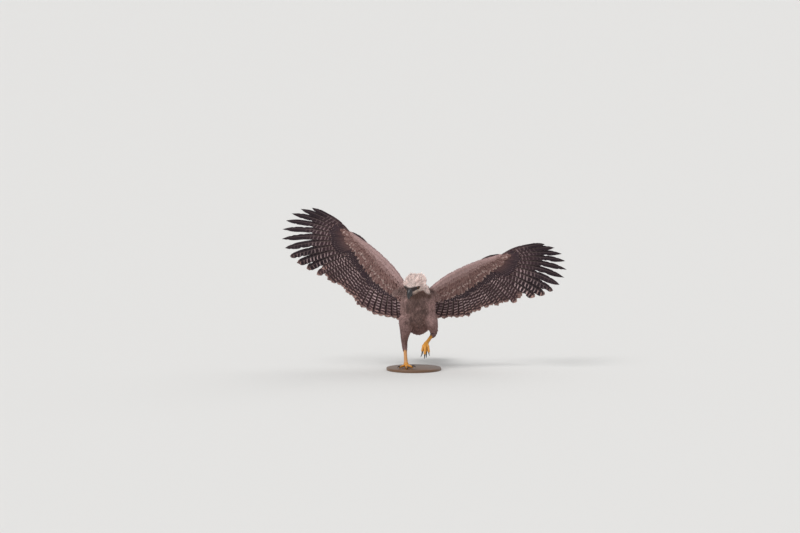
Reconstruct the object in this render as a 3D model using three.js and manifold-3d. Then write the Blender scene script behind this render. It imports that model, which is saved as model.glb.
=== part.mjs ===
// A life-size young harpy eagle balancing on its right foot, both wings raised and open, on a plain round base.
// The bird faces -Y, its left side is at +X and Z is up. Everything is in millimetres.
import * as THREE from "three";
import { mergeVertices } from "three/addons/utils/BufferGeometryUtils.js";
import Module from "manifold-3d";

const wasm = await Module();
wasm.setup();

// Driving dimensions. Bird coordinates have Z = 0 at the top of the base.
const GAP = 0.3;
// How far a room reaches past its solid at a corner, so that the gap is kept on the faces beside it.
const ROOM = 1.35 * GAP;
const BASE = { radius: 170, height: 16, bevel: 3, sides: 40, centreX: -20, centreY: -5 };

// Rows along a body part are x, y, z, half width and half depth.
const TORSO = [
  [4, -116, 500, 30, 32],
  [4, -106, 494, 58, 60],
  [5, -88, 478, 84, 84],
  [5, -52, 443, 104, 106],
  [6, -8, 402, 113, 120],
  [6, 36, 352, 115, 125],
  [7, 76, 306, 107, 116],
  [8, 108, 266, 86, 92],
  [8, 134, 246, 60, 60],
  [8, 152, 240, 34, 34],
  [8, 158, 238, 14, 14],
];
const BODY_ROLL = 6;
const NECK = [
  [4, -50, 448, 60, 60],
  [2, -84, 474, 82, 82],
  [-3, -112, 496, 74, 74],
  [-8, -136, 512, 64, 66],
  [-12, -156, 522, 46, 50],
  [-13, -164, 526, 20, 22],
];

// The head's own frame: forward, to the bird's left, and up, from the middle of the skull.
const HEAD = { x: -17, y: -162, z: 526, turn: 30, nod: 33 };
const SKULL = [
  [-78, 0, 0, 14, 14],
  [-70, 0, 0, 40, 38],
  [-45, 0, 0, 70, 57],
  [-10, 0, 0, 77, 61],
  [20, 0, 0, 62, 54],
  [42, 0, -4, 43, 41],
  [56, 0, -6, 29, 29],
  [63, 0, -7, 22, 22],
];
const UPPER_BILL = [
  [48, 0, 2, 19, 19],
  [62, 0, 3, 18.5, 19.5],
  [74, 0, 1, 15.5, 17],
  [85, 0, -5, 11.5, 13.5],
  [92, 0, -14, 8, 10],
  [94.5, 0, -24, 4.4, 6],
  [93.5, 0, -32, 1.2, 1.6],
];
const LOWER_BILL = [
  [44, 0, -15, 15, 8],
  [60, 0, -17, 13.5, 8.5],
  [72, 0, -19, 10, 7],
  [80, 0, -21, 5, 4],
];
const EYE = { forward: 28, side: 45, up: 16, radius: 12.5, lid: 2.6, sink: 3 };
const BROW = [
  [4, 50, 30, 4, 4],
  [18, 50, 31, 8, 7],
  [34, 42, 26, 8, 6.5],
  [49, 27, 14, 4, 4],
];
const NOSTRIL = { forward: 63, side: 17.5, up: 10, radius: 3.4, long: 1.9 };
// The crest's two lobes: where their feathers root round the crown, in degrees from its top, and how they lie.
const CREST = {
  lobe: 5,
  from: 16,
  to: 76,
  forward: -8,
  wide: 73,
  high: 57,
  length: 84,
  width: 34,
  rise: -5,
  splay: 15,
  droop: 6,
  layer: 2,
};

// The wing's own frame: out from the shoulder to the wrist, back to the trailing edge, and towards its upper side.
// The chord tilts back most near the body and least at the tip. The bows are how far the arm and the tip curve.
const WING = {
  wrist: 354,
  chord: 300,
  tipTilt: 10,
  tiltFrom: 80,
  tiltTo: 620,
  camber: 10,
  armBow: 10,
  tipBow: 50,
};
// How far each wing is raised, how far its middle feathers swing back, how far its chord tilts back near the body,
// and how much longer the innermost feathers reach for it.
const SHOULDER = {
  left: { x: 93, y: -45, z: 490, raise: 30.5, swing: -3, tilt: 38, spread: 1.04 },
  right: { x: -80, y: -45, z: 508, raise: 49, swing: 4.5, tilt: 30, spread: 1.2 },
};
// Rows along the arm and the hand are: out, front edge, rear edge and thickness.
const ARM = [
  [-48, 18, 60, 30],
  [-20, -6, 74, 52],
  [20, -18, 84, 54],
  [80, -27, 98, 46],
  [140, -29, 114, 38],
  [200, -27, 106, 33],
  [270, -21, 84, 29],
  [330, -13, 64, 26],
  [WING.wrist - GAP / 2, -9, 56, 25],
];
const HAND = [
  [WING.wrist + GAP / 2, -9, 56, 24],
  [385, 0, 56, 23],
  [420, 10, 56, 21],
  [452, 20, 53, 18],
  [476, 32, 46, 12],
];
// The flight feathers: the first and last roots, out and back, and the angle of the first from the wing's line.
// The primary numbered peak is the longest, and the others shorten with the square of their distance from it.
const PRIMARY = {
  count: 10,
  firstRoot: [364, 38],
  lastRoot: [456, 31],
  angle: 67,
  fan: 54,
  longest: 468,
  peak: 5.4,
  shortenInner: 5.1,
  shortenOuter: 7.7,
  width: 25,
  taper: 0.5,
  finger: 15,
};
const SECONDARY = {
  count: 12,
  firstRoot: [338, 42],
  lastRoot: [165, 100],
  angle: 73,
  fan: 37,
  shortest: 190,
  extra: 139,
  width: 19,
  wider: 4,
};
const TERTIAL = {
  count: 7,
  firstRoot: [148, 96],
  lastRoot: [18, 50],
  angle: 114,
  fan: 31,
  longest: 190,
  shorten: 12,
  width: 23,
};
const ALULA = {
  count: 3,
  root: [358, -10],
  rootStep: 3,
  angle: 6,
  fan: 6,
  length: 140,
  shorten: 24,
  width: 10,
  lift: 9,
  layer: 2.4,
};
// Rows along the thumb are: out, front edge, rear edge and thickness.
const KNUCKLE = [
  [352, -15, -2, 12],
  [362, -17, 2, 16],
  [378, -13, 6, 13],
  [390, -8, 6, 8],
];
const CORE_SIDES = 10;
const SHINGLE = 0.16;
const VANE = { thick: 0.9, quill: 1.3, edge: 0.6 };
const COVERT = { share: 0.44, lift: 8, width: 19, every: 1.75 };

const TAIL = {
  root: [8, 150, 256],
  pitch: -5,
  pairs: 6,
  length: 345,
  width: 25,
  fan: 3.1,
  rootStep: 5,
  drop: 0.7,
  sag: 10,
  shorten: 2.2,
  coverts: { lifts: [8, -11], places: [-3.2, -1.1, 1.1, 3.2], length: 150, shorten: 8, width: 26, fan: 4 },
  core: [
    [8, 140, 252, 20, 18],
    [8, 160, 254, 44, 30],
    [8, 185, 251, 46, 25],
    [8, 212, 248, 40, 15],
    [8, 232, 246, 30, 6],
  ],
};

// The legs. Rows are x, y, z, half width and half depth.
const LEG = {
  right: {
    trousers: [
      [-48, 8, 338, 40, 52],
      [-58, 6, 302, 58, 84],
      [-66, 4, 258, 50, 74],
      [-74, 12, 212, 35, 50],
      [-78, 30, 168, 25, 33],
      [-77, 38, 138, 21, 27],
      [-75, 30, 112, 17, 21],
      [-73, 21, 98, 14.5, 16],
    ],
    ankle: [-76, 38, 142],
    foot: [-68, -12, 24],
  },
  left: {
    trousers: [
      [40, 14, 352, 36, 46],
      [64, -14, 330, 56, 76],
      [84, -24, 298, 50, 66],
      [96, -4, 262, 38, 46],
      [103, 24, 230, 29, 32],
      [103, 30, 210, 23, 24],
      [97, 14, 199, 18, 19],
      [92, 1, 192, 15, 15],
    ],
    ankle: [105, 40, 211],
    foot: [57, -66, 156],
  },
};
const SHANK = { top: 12.5, middle: 10.5, end: 14, ankle: 15 };
// Toes: heading in degrees from straight ahead towards the inner side, length, half thickness and talon length.
const TOES = {
  middle: { heading: 4, length: 84, thick: 9.5, talon: 42 },
  inner: { heading: 38, length: 60, thick: 9.5, talon: 50 },
  outer: { heading: -34, length: 68, thick: 8.5, talon: 36 },
  hind: { heading: 178, length: 50, thick: 10, talon: 60 },
};
const TOE_HEIGHT = 9;
// The lifted foot hangs: how far each toe points down, and how far its end curls back, in degrees.
const HANGING = { pitch: 12, curl: 80, hindPitch: 50, hindCurl: 40, close: 0.8, sway: 6 };

const { degToRad: deg, lerp, clamp, smoothstep } = THREE.MathUtils;
const vec = (x, y, z) => new THREE.Vector3(x, y, z);

// Shape helpers

// The value of a list of rows at a share of the way along it, on a smooth curve through the rows.
function along(rows, share) {
  const place = share * (rows.length - 1);
  const i = Math.min(Math.floor(place), rows.length - 2);
  const t = place - i;
  const row = (k) => rows[clamp(k, 0, rows.length - 1)];
  return rows[i].map((_, k) => {
    const [p, q, r, s] = [row(i - 1)[k], row(i)[k], row(i + 1)[k], row(i + 2)[k]];
    const bend = 2 * q + (r - p) * t + (2 * p - 5 * q + 4 * r - s) * t * t + (3 * q - p - 3 * r + s) * t ** 3;
    return bend / 2;
  });
}

// A closed solid from points and faces, turned so that its faces point out.
function solid(points, faces) {
  const build = (order) =>
    new wasm.Manifold(
      new wasm.Mesh({
        numProp: 3,
        vertProperties: new Float32Array(points.flatMap((p) => p.toArray())),
        triVerts: new Uint32Array(order),
      }),
    );
  const made = build(faces);
  return made.volume() > 0 ? made : build(faces.slice().reverse());
}

// A three.js geometry as a solid.
function solidOf(geometry) {
  const bare = geometry.clone();
  bare.deleteAttribute("normal");
  bare.deleteAttribute("uv");
  const merged = mergeVertices(bare, 1e-4);
  const position = merged.attributes.position;
  const pointAt = (_, i) => new THREE.Vector3().fromBufferAttribute(position, i);
  return solid(Array.from({ length: position.count }, pointAt), Array.from(merged.index.array));
}

// Joins rings of points into a closed solid. The sides in alike are split along the other diagonal,
// so that both faces of a thin vane bend on the same line.
function loft(rings, alike = []) {
  const size = rings[0].length;
  const last = (rings.length - 1) * size;
  const faces = [];
  for (let i = 0; i < rings.length - 1; i++)
    for (let k = 0; k < size; k++) {
      const a = i * size + k;
      const b = i * size + ((k + 1) % size);
      const [c, d] = [a + size, b + size];
      faces.push(...(alike.includes(k) ? [a, b, c, b, d, c] : [a, b, d, a, d, c]));
    }
  for (let k = 1; k < size - 1; k++) faces.push(0, k + 1, k, last, last + k, last + k + 1);
  return solid(rings.flat(), faces);
}

// A rounded limb along rows of x, y, z, half width and half depth.
function limb(rows, { rings = 12, sides = 16, side = vec(1, 0, 0), floor = null, map = vec } = {}) {
  const at = (share) => map(...along(rows, clamp(share, 0, 1)).slice(0, 3));
  const step = 0.01;
  return loft(
    Array.from({ length: rings + 1 }, (_, i) => {
      const share = i / rings;
      const [, , , wide, deep] = along(rows, share);
      const centre = at(share);
      const ahead = at(share + step).sub(at(share - step)).normalize();
      const across = side.clone().addScaledVector(ahead, -side.dot(ahead)).normalize();
      const up = new THREE.Vector3().crossVectors(ahead, across);
      return Array.from({ length: sides }, (_, k) => {
        const angle = (2 * Math.PI * k) / sides;
        const p = centre.clone();
        p.addScaledVector(across, wide * Math.cos(angle));
        p.addScaledVector(up, deep * Math.sin(angle));
        if (floor !== null) p.z = Math.max(p.z, floor);
        return p;
      });
    }),
  );
}

// A solid as a three.js geometry.
function geometryOf(made) {
  const mesh = made.getMesh();
  const positions = new Float32Array(mesh.numVert * 3);
  for (let i = 0; i < mesh.numVert; i++)
    positions.set(mesh.vertProperties.subarray(i * mesh.numProp, i * mesh.numProp + 3), i * 3);
  const geometry = new THREE.BufferGeometry();
  geometry.setAttribute("position", new THREE.BufferAttribute(positions, 3));
  geometry.setIndex(new THREE.BufferAttribute(new Uint32Array(mesh.triVerts), 1));
  geometry.computeVertexNormals();
  return geometry;
}

// The room that a solid takes up with the gap round it.
function room(made) {
  const geometry = geometryOf(made);
  const { position, normal } = geometry.attributes;
  const out = new THREE.Vector3();
  const points = Array.from({ length: position.count }, (_, i) => {
    out.fromBufferAttribute(normal, i);
    return new THREE.Vector3().fromBufferAttribute(position, i).addScaledVector(out, ROOM);
  });
  return solid(points, Array.from(geometry.index.array));
}

const join = (solids) => solids.reduce((sum, next) => sum.add(next));
const largest = (made) => made.decompose().sort((a, b) => b.volume() - a.volume())[0];

// What is left of a solid once the rooms of others are taken from it.
function clearOf(made, rooms) {
  return largest(rooms.reduce((rest, taken) => rest.subtract(taken), made));
}

const eagle = new THREE.Group();

function addMesh(name, made, material) {
  const piece = new THREE.Mesh(geometryOf(largest(made)), material);
  piece.name = name;
  eagle.add(piece);
}

const finish = (color, roughness) => new THREE.MeshStandardMaterial({ color, roughness, metalness: 0 });
const WHITE_DOWN = finish(0xe9ddd5, 0.9);
const BREAST_FEATHERS = finish(0x93817c, 0.9);
const WING_FEATHERS = finish(0x5b4c4d, 0.75);
const DARK_HORN = finish(0x2c2a30, 0.35);
const YELLOW_SKIN = finish(0xe0a035, 0.55);
const EYE_GLASS = finish(0x2a1c14, 0.08);
const BASE_WOOD = finish(0x6d4a32, 0.45);

// Torso and neck

const bodySide = vec(Math.cos(deg(BODY_ROLL)), 0, -Math.sin(deg(BODY_ROLL)));
const torsoWhole = limb(TORSO, { rings: 12, sides: 18, side: bodySide });
const neckWhole = limb(NECK, { rings: 6, sides: 16, side: bodySide });

// Head

const [turned, nodded] = [deg(HEAD.turn), deg(HEAD.nod)];
const headLeft = vec(Math.cos(turned), -Math.sin(turned), 0);
const headForward = vec(-Math.sin(turned), -Math.cos(turned), 0).multiplyScalar(Math.cos(nodded));
headForward.z = -Math.sin(nodded);
const headUp = new THREE.Vector3().crossVectors(headForward, headLeft);

function headPoint(forward, left, up) {
  const p = vec(HEAD.x, HEAD.y, HEAD.z);
  return p.addScaledVector(headForward, forward).addScaledVector(headLeft, left).addScaledVector(headUp, up);
}

const headLimb = (rows, rings, sides) => limb(rows, { rings, sides, side: headLeft, map: headPoint });
const skull = headLimb(SKULL, 11, 18);
const upperBill = headLimb(UPPER_BILL, 9, 10);
const lowerBill = headLimb(LOWER_BILL, 5, 8);

function eyeball(sign) {
  const ball = new THREE.SphereGeometry(EYE.radius, 12, 8);
  const place = headPoint(EYE.forward, sign * (EYE.side - EYE.sink), EYE.up);
  return solidOf(ball.translate(...place.toArray()));
}

// The rim of skin that closes round the eye.
function eyelid(sign) {
  const rim = new THREE.TorusGeometry(EYE.radius - 0.6, EYE.lid, 5, 12);
  const outward = headLeft.clone().multiplyScalar(sign).addScaledVector(headForward, 0.5).normalize();
  rim.applyQuaternion(new THREE.Quaternion().setFromUnitVectors(vec(0, 0, 1), outward));
  const centre = headPoint(EYE.forward, sign * (EYE.side - EYE.sink), EYE.up).addScaledVector(outward, 6);
  return solidOf(rim.translate(...centre.toArray()));
}

function brow(sign) {
  const rows = BROW.map(([forward, left, up, wide, deep]) => [forward, sign * left, up, wide, deep]);
  return headLimb(rows, 4, 6);
}

function nostril(sign) {
  const hole = new THREE.SphereGeometry(NOSTRIL.radius, 8, 5).scale(1, 1, NOSTRIL.long);
  hole.applyQuaternion(new THREE.Quaternion().setFromUnitVectors(vec(0, 0, 1), headUp));
  return solidOf(hole.translate(...headPoint(NOSTRIL.forward, sign * NOSTRIL.side, NOSTRIL.up).toArray()));
}

// Feathers

// A thin vane through stations, each with a middle, a sideways vector, two half widths and a thickness.
function vane(stations, lift) {
  const rings = stations.map(({ middle, across, outer, inner, thick }) => {
    const edge = (reach) => middle.clone().addScaledVector(across, reach);
    const half = lift.clone().multiplyScalar(thick / 2);
    const [front, rear] = [edge(outer), edge(-inner)];
    return [front.clone().add(half), rear.clone().add(half), rear.clone().sub(half), front.clone().sub(half)];
  });
  return loft(rings, [2]);
}

// Share of the full width along a long feather, from its quill to its round tip, and along a short covert.
const LONG = [
  [0, 0.2],
  [0.2, 0.72],
  [0.55, 1],
  [0.92, 0.84],
  [1, 0.32],
];
const SHORT = [
  [0, 0.2],
  [0.4, 1],
  [0.86, 0.84],
  [1, 0.34],
];

// The crest is two lobes of broad feathers on the back of the crown.
function crest() {
  const feathers = [];
  for (const sign of [-1, 1])
    for (let i = 0; i < CREST.lobe; i++) {
      const share = i / (CREST.lobe - 1);
      const round = deg(sign * lerp(CREST.from, CREST.to, share));
      const root = headPoint(CREST.forward, CREST.wide * Math.sin(round), CREST.high * Math.cos(round));
      const outward = headLeft.clone().multiplyScalar(Math.sin(round)).addScaledVector(headUp, Math.cos(round));
      const aside = headLeft.clone().multiplyScalar(Math.cos(round)).addScaledVector(headUp, -Math.sin(round));
      const [rise, splay] = [deg(CREST.rise), deg(sign * CREST.splay)];
      const way = headForward.clone().multiplyScalar(-Math.cos(rise) * Math.cos(splay));
      way.addScaledVector(outward, Math.sin(rise)).addScaledVector(aside, Math.cos(rise) * Math.sin(splay));
      const across = aside.clone().addScaledVector(way, -aside.dot(way)).normalize();
      const lift = new THREE.Vector3().crossVectors(way, across).normalize();
      if (lift.dot(outward) < 0) lift.negate();
      const length = CREST.length * (0.86 + 0.14 * Math.sin(Math.PI * share));
      const stations = SHORT.map(([s, width]) => ({
        middle: root
          .clone()
          .addScaledVector(way, length * s)
          .addScaledVector(lift, -CREST.droop * s * s - CREST.layer * i),
        across,
        outer: (CREST.width / 2) * width,
        inner: (CREST.width / 2) * width,
        thick: 1.4 - 0.7 * s,
      }));
      feathers.push(vane(stations, lift));
    }
  return feathers;
}

// Wings

// How far the wing's surface lies towards its upper side at a place out and back.
function wingDepth(out, back, chordTilt) {
  const twist = smoothstep(out, WING.tiltFrom, WING.tiltTo);
  const tilt = lerp(Math.tan(deg(chordTilt)), Math.tan(deg(WING.tipTilt)), twist);
  const share = clamp(back / WING.chord, 0, 1);
  const alongArm = clamp(out / WING.wrist, 0, 1);
  const bow = WING.armBow * Math.sin(Math.PI * alongArm) - WING.tipBow * twist ** 2;
  return back * tilt + WING.camber * (1 - 0.7 * twist) * 4 * share * (1 - share) + bow;
}

function wing(sideName) {
  const { x, y, z, raise, swing, tilt, spread } = SHOULDER[sideName];
  const sign = sideName === "left" ? 1 : -1;
  const [cos, sin] = [Math.cos(deg(raise)), Math.sin(deg(raise))];
  const point = (out, back, up) =>
    vec(x + sign * (out * cos + back * sin), y + wingDepth(out, back, tilt) + up, z + out * sin - back * cos);

  // A flattened solid through rows of out, front edge, rear edge and thickness.
  const core = (rows, count) =>
    loft(
      Array.from({ length: count + 1 }, (_, i) => {
        const [out, front, rear, thick] = along(rows, i / count);
        return Array.from({ length: CORE_SIDES }, (_, k) => {
          const angle = (2 * Math.PI * k) / CORE_SIDES;
          const share = (1 - Math.cos(angle)) / 2;
          const bulk = Math.sqrt(Math.abs(Math.sin(angle))) * (1 - 0.45 * share) * (thick / 2);
          return point(out, lerp(front, rear, share), Math.sign(Math.sin(angle)) * bulk);
        });
      }),
    );

  // One feather in the wing's surface: its leading half lies towards the upper side and its trailing half below.
  const feather = ({ out, back, angle, length, width, shape = LONG, bend = 6, lift = 0, finger = null }) => {
    const stations = shape.map(([s, share]) => {
      const turn = deg(angle + bend * (s - 1));
      const narrow = finger === null ? 1 : lerp(1, finger / width, smoothstep(s, 0.5, 0.8));
      const [o, b] = [out + length * s * Math.cos(turn), back + length * s * Math.sin(turn)];
      const half = width * share * narrow;
      const edge = (reach) => {
        const [eo, eb] = [o + reach * Math.sin(turn), b - reach * Math.cos(turn)];
        return [eo, eb, lift + SHINGLE * reach];
      };
      const thick = s < 0.1 ? VANE.quill : s < 0.9 ? VANE.thick : VANE.edge;
      return { front: edge(half * 0.8), rear: edge(-half * 1.2), thick };
    });
    const rings = stations.map(({ front, rear, thick }) => {
      const at = ([o, b, up], side) => point(o, b, up + (side * thick) / 2);
      return [at(front, 1), at(rear, 1), at(rear, -1), at(front, -1)];
    });
    return loft(rings, [2]);
  };

  // A row of flight feathers, with its own length and width at each share of the way along the row.
  const row = ({ count, firstRoot, lastRoot, angle, fan }, swings, sized) =>
    Array.from({ length: count }, (_, i) => {
      const share = i / (count - 1);
      return {
        out: lerp(firstRoot[0], lastRoot[0], share),
        back: lerp(firstRoot[1], lastRoot[1], share),
        angle: angle + fan * share + swings * (1 - share),
        ...sized(share, i + 1),
      };
    });
  const primaries = row({ ...PRIMARY, fan: -PRIMARY.fan }, swing, (share, number) => {
    const shorten = number < PRIMARY.peak ? PRIMARY.shortenInner : PRIMARY.shortenOuter;
    return {
      length: PRIMARY.longest - shorten * (number - PRIMARY.peak) ** 2,
      width: PRIMARY.width - PRIMARY.taper * (number - 1),
      finger: lerp(PRIMARY.width, PRIMARY.finger, smoothstep(number, 2, 6)),
    };
  });
  const secondaries = row(SECONDARY, swing, (share) => ({
    length: (SECONDARY.shortest + SECONDARY.extra * (1 - share) ** 2) * lerp(1, spread, share),
    width: SECONDARY.width + SECONDARY.wider * (1 - share),
  }));
  const tertials = row(TERTIAL, 0, (share) => ({
    length: (TERTIAL.longest - TERTIAL.shorten * share) * spread,
    width: TERTIAL.width,
  }));

  // Greater coverts over the roots of the flight feathers, on both sides of the wing.
  const coverts = (feathers) => {
    const count = Math.round(feathers.length / COVERT.every);
    const keys = ["out", "back", "angle", "length"];
    const rows = feathers.map((f) => keys.map((key) => f[key]));
    return Array.from({ length: count }, (_, i) => {
      const [out, back, angle, length] = along(rows, i / (count - 1));
      const shared = { out, back, angle, length: length * COVERT.share, width: COVERT.width, shape: SHORT };
      return [-1, 1].map((side) => ({ ...shared, lift: side * COVERT.lift }));
    }).flat();
  };

  const armFeathers = [...secondaries, ...tertials];
  const armCore = core(ARM, 9);
  const handCore = core(HAND, 5);
  const arm = join([armCore, ...[...armFeathers, ...coverts(armFeathers)].map(feather)]);
  const hand = join([handCore, ...[...primaries, ...coverts(primaries)].map(feather)]);

  // The bastard wing: a few stiff feathers on the thumb, at the front edge of the wrist.
  const thumb = Array.from({ length: ALULA.count }, (_, i) =>
    feather({
      out: ALULA.root[0],
      back: ALULA.root[1] + ALULA.rootStep * i,
      angle: ALULA.angle + ALULA.fan * i,
      length: ALULA.length - ALULA.shorten * i,
      width: ALULA.width,
      shape: SHORT,
      lift: ALULA.lift - ALULA.layer * i,
    }),
  );
  const knuckle = core(KNUCKLE, 4);
  return { arm, hand, alula: clearOf(join([knuckle, ...thumb]), [room(armCore), room(handCore)]) };
}

// Tail: six pairs of feathers, the middle pair on top, on a short fleshy root with coverts above and below.
function tail() {
  const back = vec(0, Math.cos(deg(TAIL.pitch)), Math.sin(deg(TAIL.pitch)));
  const up = vec(0, -Math.sin(deg(TAIL.pitch)), Math.cos(deg(TAIL.pitch)));
  const feather = ({ place, length, width, shape, lift, fan }) => {
    const sign = Math.sign(place);
    const yaw = deg(place * fan);
    const way = back.clone().multiplyScalar(Math.cos(yaw)).add(vec(Math.sin(yaw), 0, 0));
    const across = vec(Math.cos(yaw), 0, 0).addScaledVector(back, -Math.sin(yaw));
    const slope = across.clone().addScaledVector(up, sign * SHINGLE);
    const root = vec(...TAIL.root).addScaledVector(across, place * TAIL.rootStep);
    root.addScaledVector(up, lift - Math.abs(place) * TAIL.drop);
    const stations = shape.map(([s, share]) => {
      const middle = root.clone().addScaledVector(way, length * s).addScaledVector(up, -TAIL.sag * s * s);
      const toMidline = Math.abs(middle.x - TAIL.root[0]) - GAP;
      const [outward, inward] = [width * share, Math.min(width * share, toMidline)];
      return {
        middle,
        across: slope,
        outer: sign > 0 ? outward : inward,
        inner: sign > 0 ? inward : outward,
        thick: s < 0.1 ? VANE.quill : s < 0.9 ? VANE.thick : VANE.edge,
      };
    });
    return vane(stations, up);
  };
  const places = Array.from({ length: TAIL.pairs * 2 }, (_, i) => i - TAIL.pairs + 0.5);
  const vanes = places.map((place) => {
    const length = TAIL.length - TAIL.shorten * place ** 2;
    return feather({ place, length, width: TAIL.width, shape: LONG, lift: 0, fan: TAIL.fan });
  });
  const { lifts, places: covertPlaces, length: full, shorten, width, fan } = TAIL.coverts;
  const coverts = lifts.flatMap((lift) =>
    covertPlaces.map((place) => {
      const length = full - shorten * Math.abs(place);
      return feather({ place, length, width, shape: SHORT, lift, fan });
    }),
  );
  return join([limb(TAIL.core, { rings: 5, sides: 12 }), ...vanes, ...coverts]);
}

// Legs

function shank(leg) {
  const [ankle, foot] = [vec(...leg.ankle), vec(...leg.foot)];
  const rows = [
    [0, SHANK.ankle],
    [0.12, SHANK.top],
    [0.5, SHANK.middle],
    [0.85, SHANK.middle + 1],
    [1, SHANK.end],
  ].map(([share, half]) => [...ankle.clone().lerp(foot, share).toArray(), half, half]);
  return limb(rows, { rings: 6, sides: 12 });
}

// The line of one toe as rows, on the ground or hanging from a lifted foot, and the way it points at its end.
function toeLine(root, toe, sign, hangs) {
  const hind = Math.abs(toe.heading) > 90;
  const spread = hangs ? HANGING.close : 1;
  const turned = hind ? 180 + (toe.heading - 180) * spread : toe.heading * spread;
  const heading = deg(sign * turned + (hangs ? sign * HANGING.sway : 0));
  const flat = vec(-Math.sin(heading), -Math.cos(heading), 0);
  const segments = 6;
  const place = root.clone();
  const rows = [];
  let way = flat.clone();
  for (let i = 0; i <= segments; i++) {
    const share = i / segments;
    const knuckle = 1 + 0.12 * Math.cos(share * 4 * Math.PI);
    const half = toe.thick * (1 - 0.28 * share) * knuckle;
    rows.push([...place.toArray(), half, half]);
    if (hangs) {
      const pitch = hind ? HANGING.hindPitch + HANGING.hindCurl * share : HANGING.pitch + HANGING.curl * share;
      way = flat.clone().multiplyScalar(Math.cos(deg(pitch))).add(vec(0, 0, -Math.sin(deg(pitch))));
      place.addScaledVector(way, toe.length / segments);
    } else {
      place.addScaledVector(flat, toe.length / segments);
      const arch = TOE_HEIGHT + 5 * Math.sin(Math.PI * Math.min(1, share + 1 / segments)) * (1 - share);
      place.z = lerp(root.z, arch, Math.min(1, (i + 1) / 2));
    }
  }
  return { rows, end: place, way, half: toe.thick * 0.72 };
}

// A talon: a horn that curves down from the end of its toe to a point.
function talon(line, toe, hangs) {
  const bend = hangs ? 60 : 78;
  const start = hangs ? 0 : 34;
  const rows = [];
  const place = vec(...line.rows[line.rows.length - 1].slice(0, 3)).addScaledVector(line.way, -5);
  const flat = line.way.clone().normalize();
  const axis = new THREE.Vector3().crossVectors(flat, vec(0, 0, 1)).normalize();
  const steps = 7;
  for (let i = 0; i <= steps; i++) {
    const share = i / steps;
    const half = Math.max(0.5, line.half * 0.82 * Math.sqrt(1 - share));
    rows.push([...place.toArray(), half * 0.85, half]);
    const turn = deg(start - bend * share);
    const way = flat.clone().applyAxisAngle(axis, hangs ? -turn - deg(bend * share * 2) : turn);
    place.addScaledVector(way, toe.talon / steps);
  }
  return rows;
}

function foot(leg, sign, hangs) {
  const root = vec(...leg.foot);
  const floor = hangs ? null : GAP;
  const lines = Object.entries(TOES).map(([name, toe]) => {
    const line = toeLine(root, toe, sign, hangs);
    return { name, toe, line };
  });
  const palm = solidOf(new THREE.SphereGeometry(15.5, 8, 6).scale(1, 1, 0.85).translate(...leg.foot));
  const toes = lines.map(({ line }) => limb(line.rows, { rings: 5, sides: 8, floor }));
  const claws = lines.map(({ name, toe, line }) => ({
    name,
    rows: talon(line, toe, hangs),
  }));
  return { flesh: join([palm, ...toes]), claws, floor };
}

// Putting the bird together

const skullRoom = room(skull);
const torso = clearOf(torsoWhole, [skullRoom]);
const torsoRoom = room(torsoWhole);
const neckRoom = room(neckWhole);
const eyes = { left: eyeball(1), right: eyeball(-1) };
const features = [brow(1), brow(-1), eyelid(1), eyelid(-1)];

const upper = clearOf(upperBill, [skullRoom, nostril(1), nostril(-1)]);
const lower = clearOf(lowerBill, [skullRoom, room(upperBill)]);
const hollows = [...Object.values(eyes), upperBill, lowerBill].map(room);
const crestVanes = join(crest()).subtract(torsoRoom).subtract(neckRoom);
const head = clearOf(join([skull, ...features, crestVanes]), hollows);
const neck = clearOf(neckWhole, [torsoRoom, skullRoom]);

addMesh("head", head, WHITE_DOWN);
addMesh("bill_upper", upper, DARK_HORN);
addMesh("bill_lower", lower, DARK_HORN);
addMesh("neck", neck, BREAST_FEATHERS);
addMesh("torso", torso, BREAST_FEATHERS);
for (const [name, ball] of Object.entries(eyes)) addMesh(`eye_${name}`, ball, EYE_GLASS);

const trousers = (leg) => limb(leg.trousers, { rings: 9, sides: 12 });
const trouserRooms = Object.values(LEG).map((leg) => room(trousers(leg)));

addMesh("tail", clearOf(tail(), [torsoRoom, ...trouserRooms]), WING_FEATHERS);
for (const name of ["left", "right"]) {
  const { arm, hand, alula } = wing(name);
  addMesh(`wing_${name}_arm`, clearOf(arm, [torsoRoom, neckRoom, skullRoom, ...trouserRooms]), WING_FEATHERS);
  addMesh(`wing_${name}_hand`, hand, WING_FEATHERS);
  addMesh(`alula_${name}`, alula, WING_FEATHERS);
}

for (const [name, leg] of Object.entries(LEG)) {
  const sign = name === "left" ? 1 : -1;
  const hangs = name === "left";
  const { flesh, claws, floor } = foot(leg, sign, hangs);
  const shankRoom = room(shank(leg));
  const talons = claws.map(({ name: toe, rows }) => ({ toe, made: limb(rows, { rings: 6, sides: 6, floor }) }));
  addMesh(`thigh_${name}`, clearOf(trousers(leg), [torsoRoom, shankRoom]), BREAST_FEATHERS);
  addMesh(`shank_${name}`, shank(leg), YELLOW_SKIN);
  addMesh(`foot_${name}`, clearOf(flesh, [shankRoom, ...talons.map(({ made }) => room(made))]), YELLOW_SKIN);
  for (const { toe, made } of talons) addMesh(`talon_${name}_${toe}`, made, DARK_HORN);
}

const rim = [
  [0, -BASE.height],
  [BASE.radius - BASE.bevel, -BASE.height],
  [BASE.radius, -BASE.height + BASE.bevel],
  [BASE.radius, -BASE.bevel],
  [BASE.radius - BASE.bevel, 0],
  [0, 0],
].map(([x, y]) => new THREE.Vector2(x, y));
const disc = new THREE.LatheGeometry(rim, BASE.sides).rotateX(Math.PI / 2);
addMesh("stand_base", solidOf(disc.translate(BASE.centreX, BASE.centreY, 0)), BASE_WOOD);

// The part's origin is the middle of the base's underside.
eagle.position.set(-BASE.centreX, -BASE.centreY, BASE.height);

export default eagle;
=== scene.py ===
"""Dresses a life-size young harpy eagle in its skin, feathers, bill, eyes, feet, talons and base."""

import math

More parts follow.
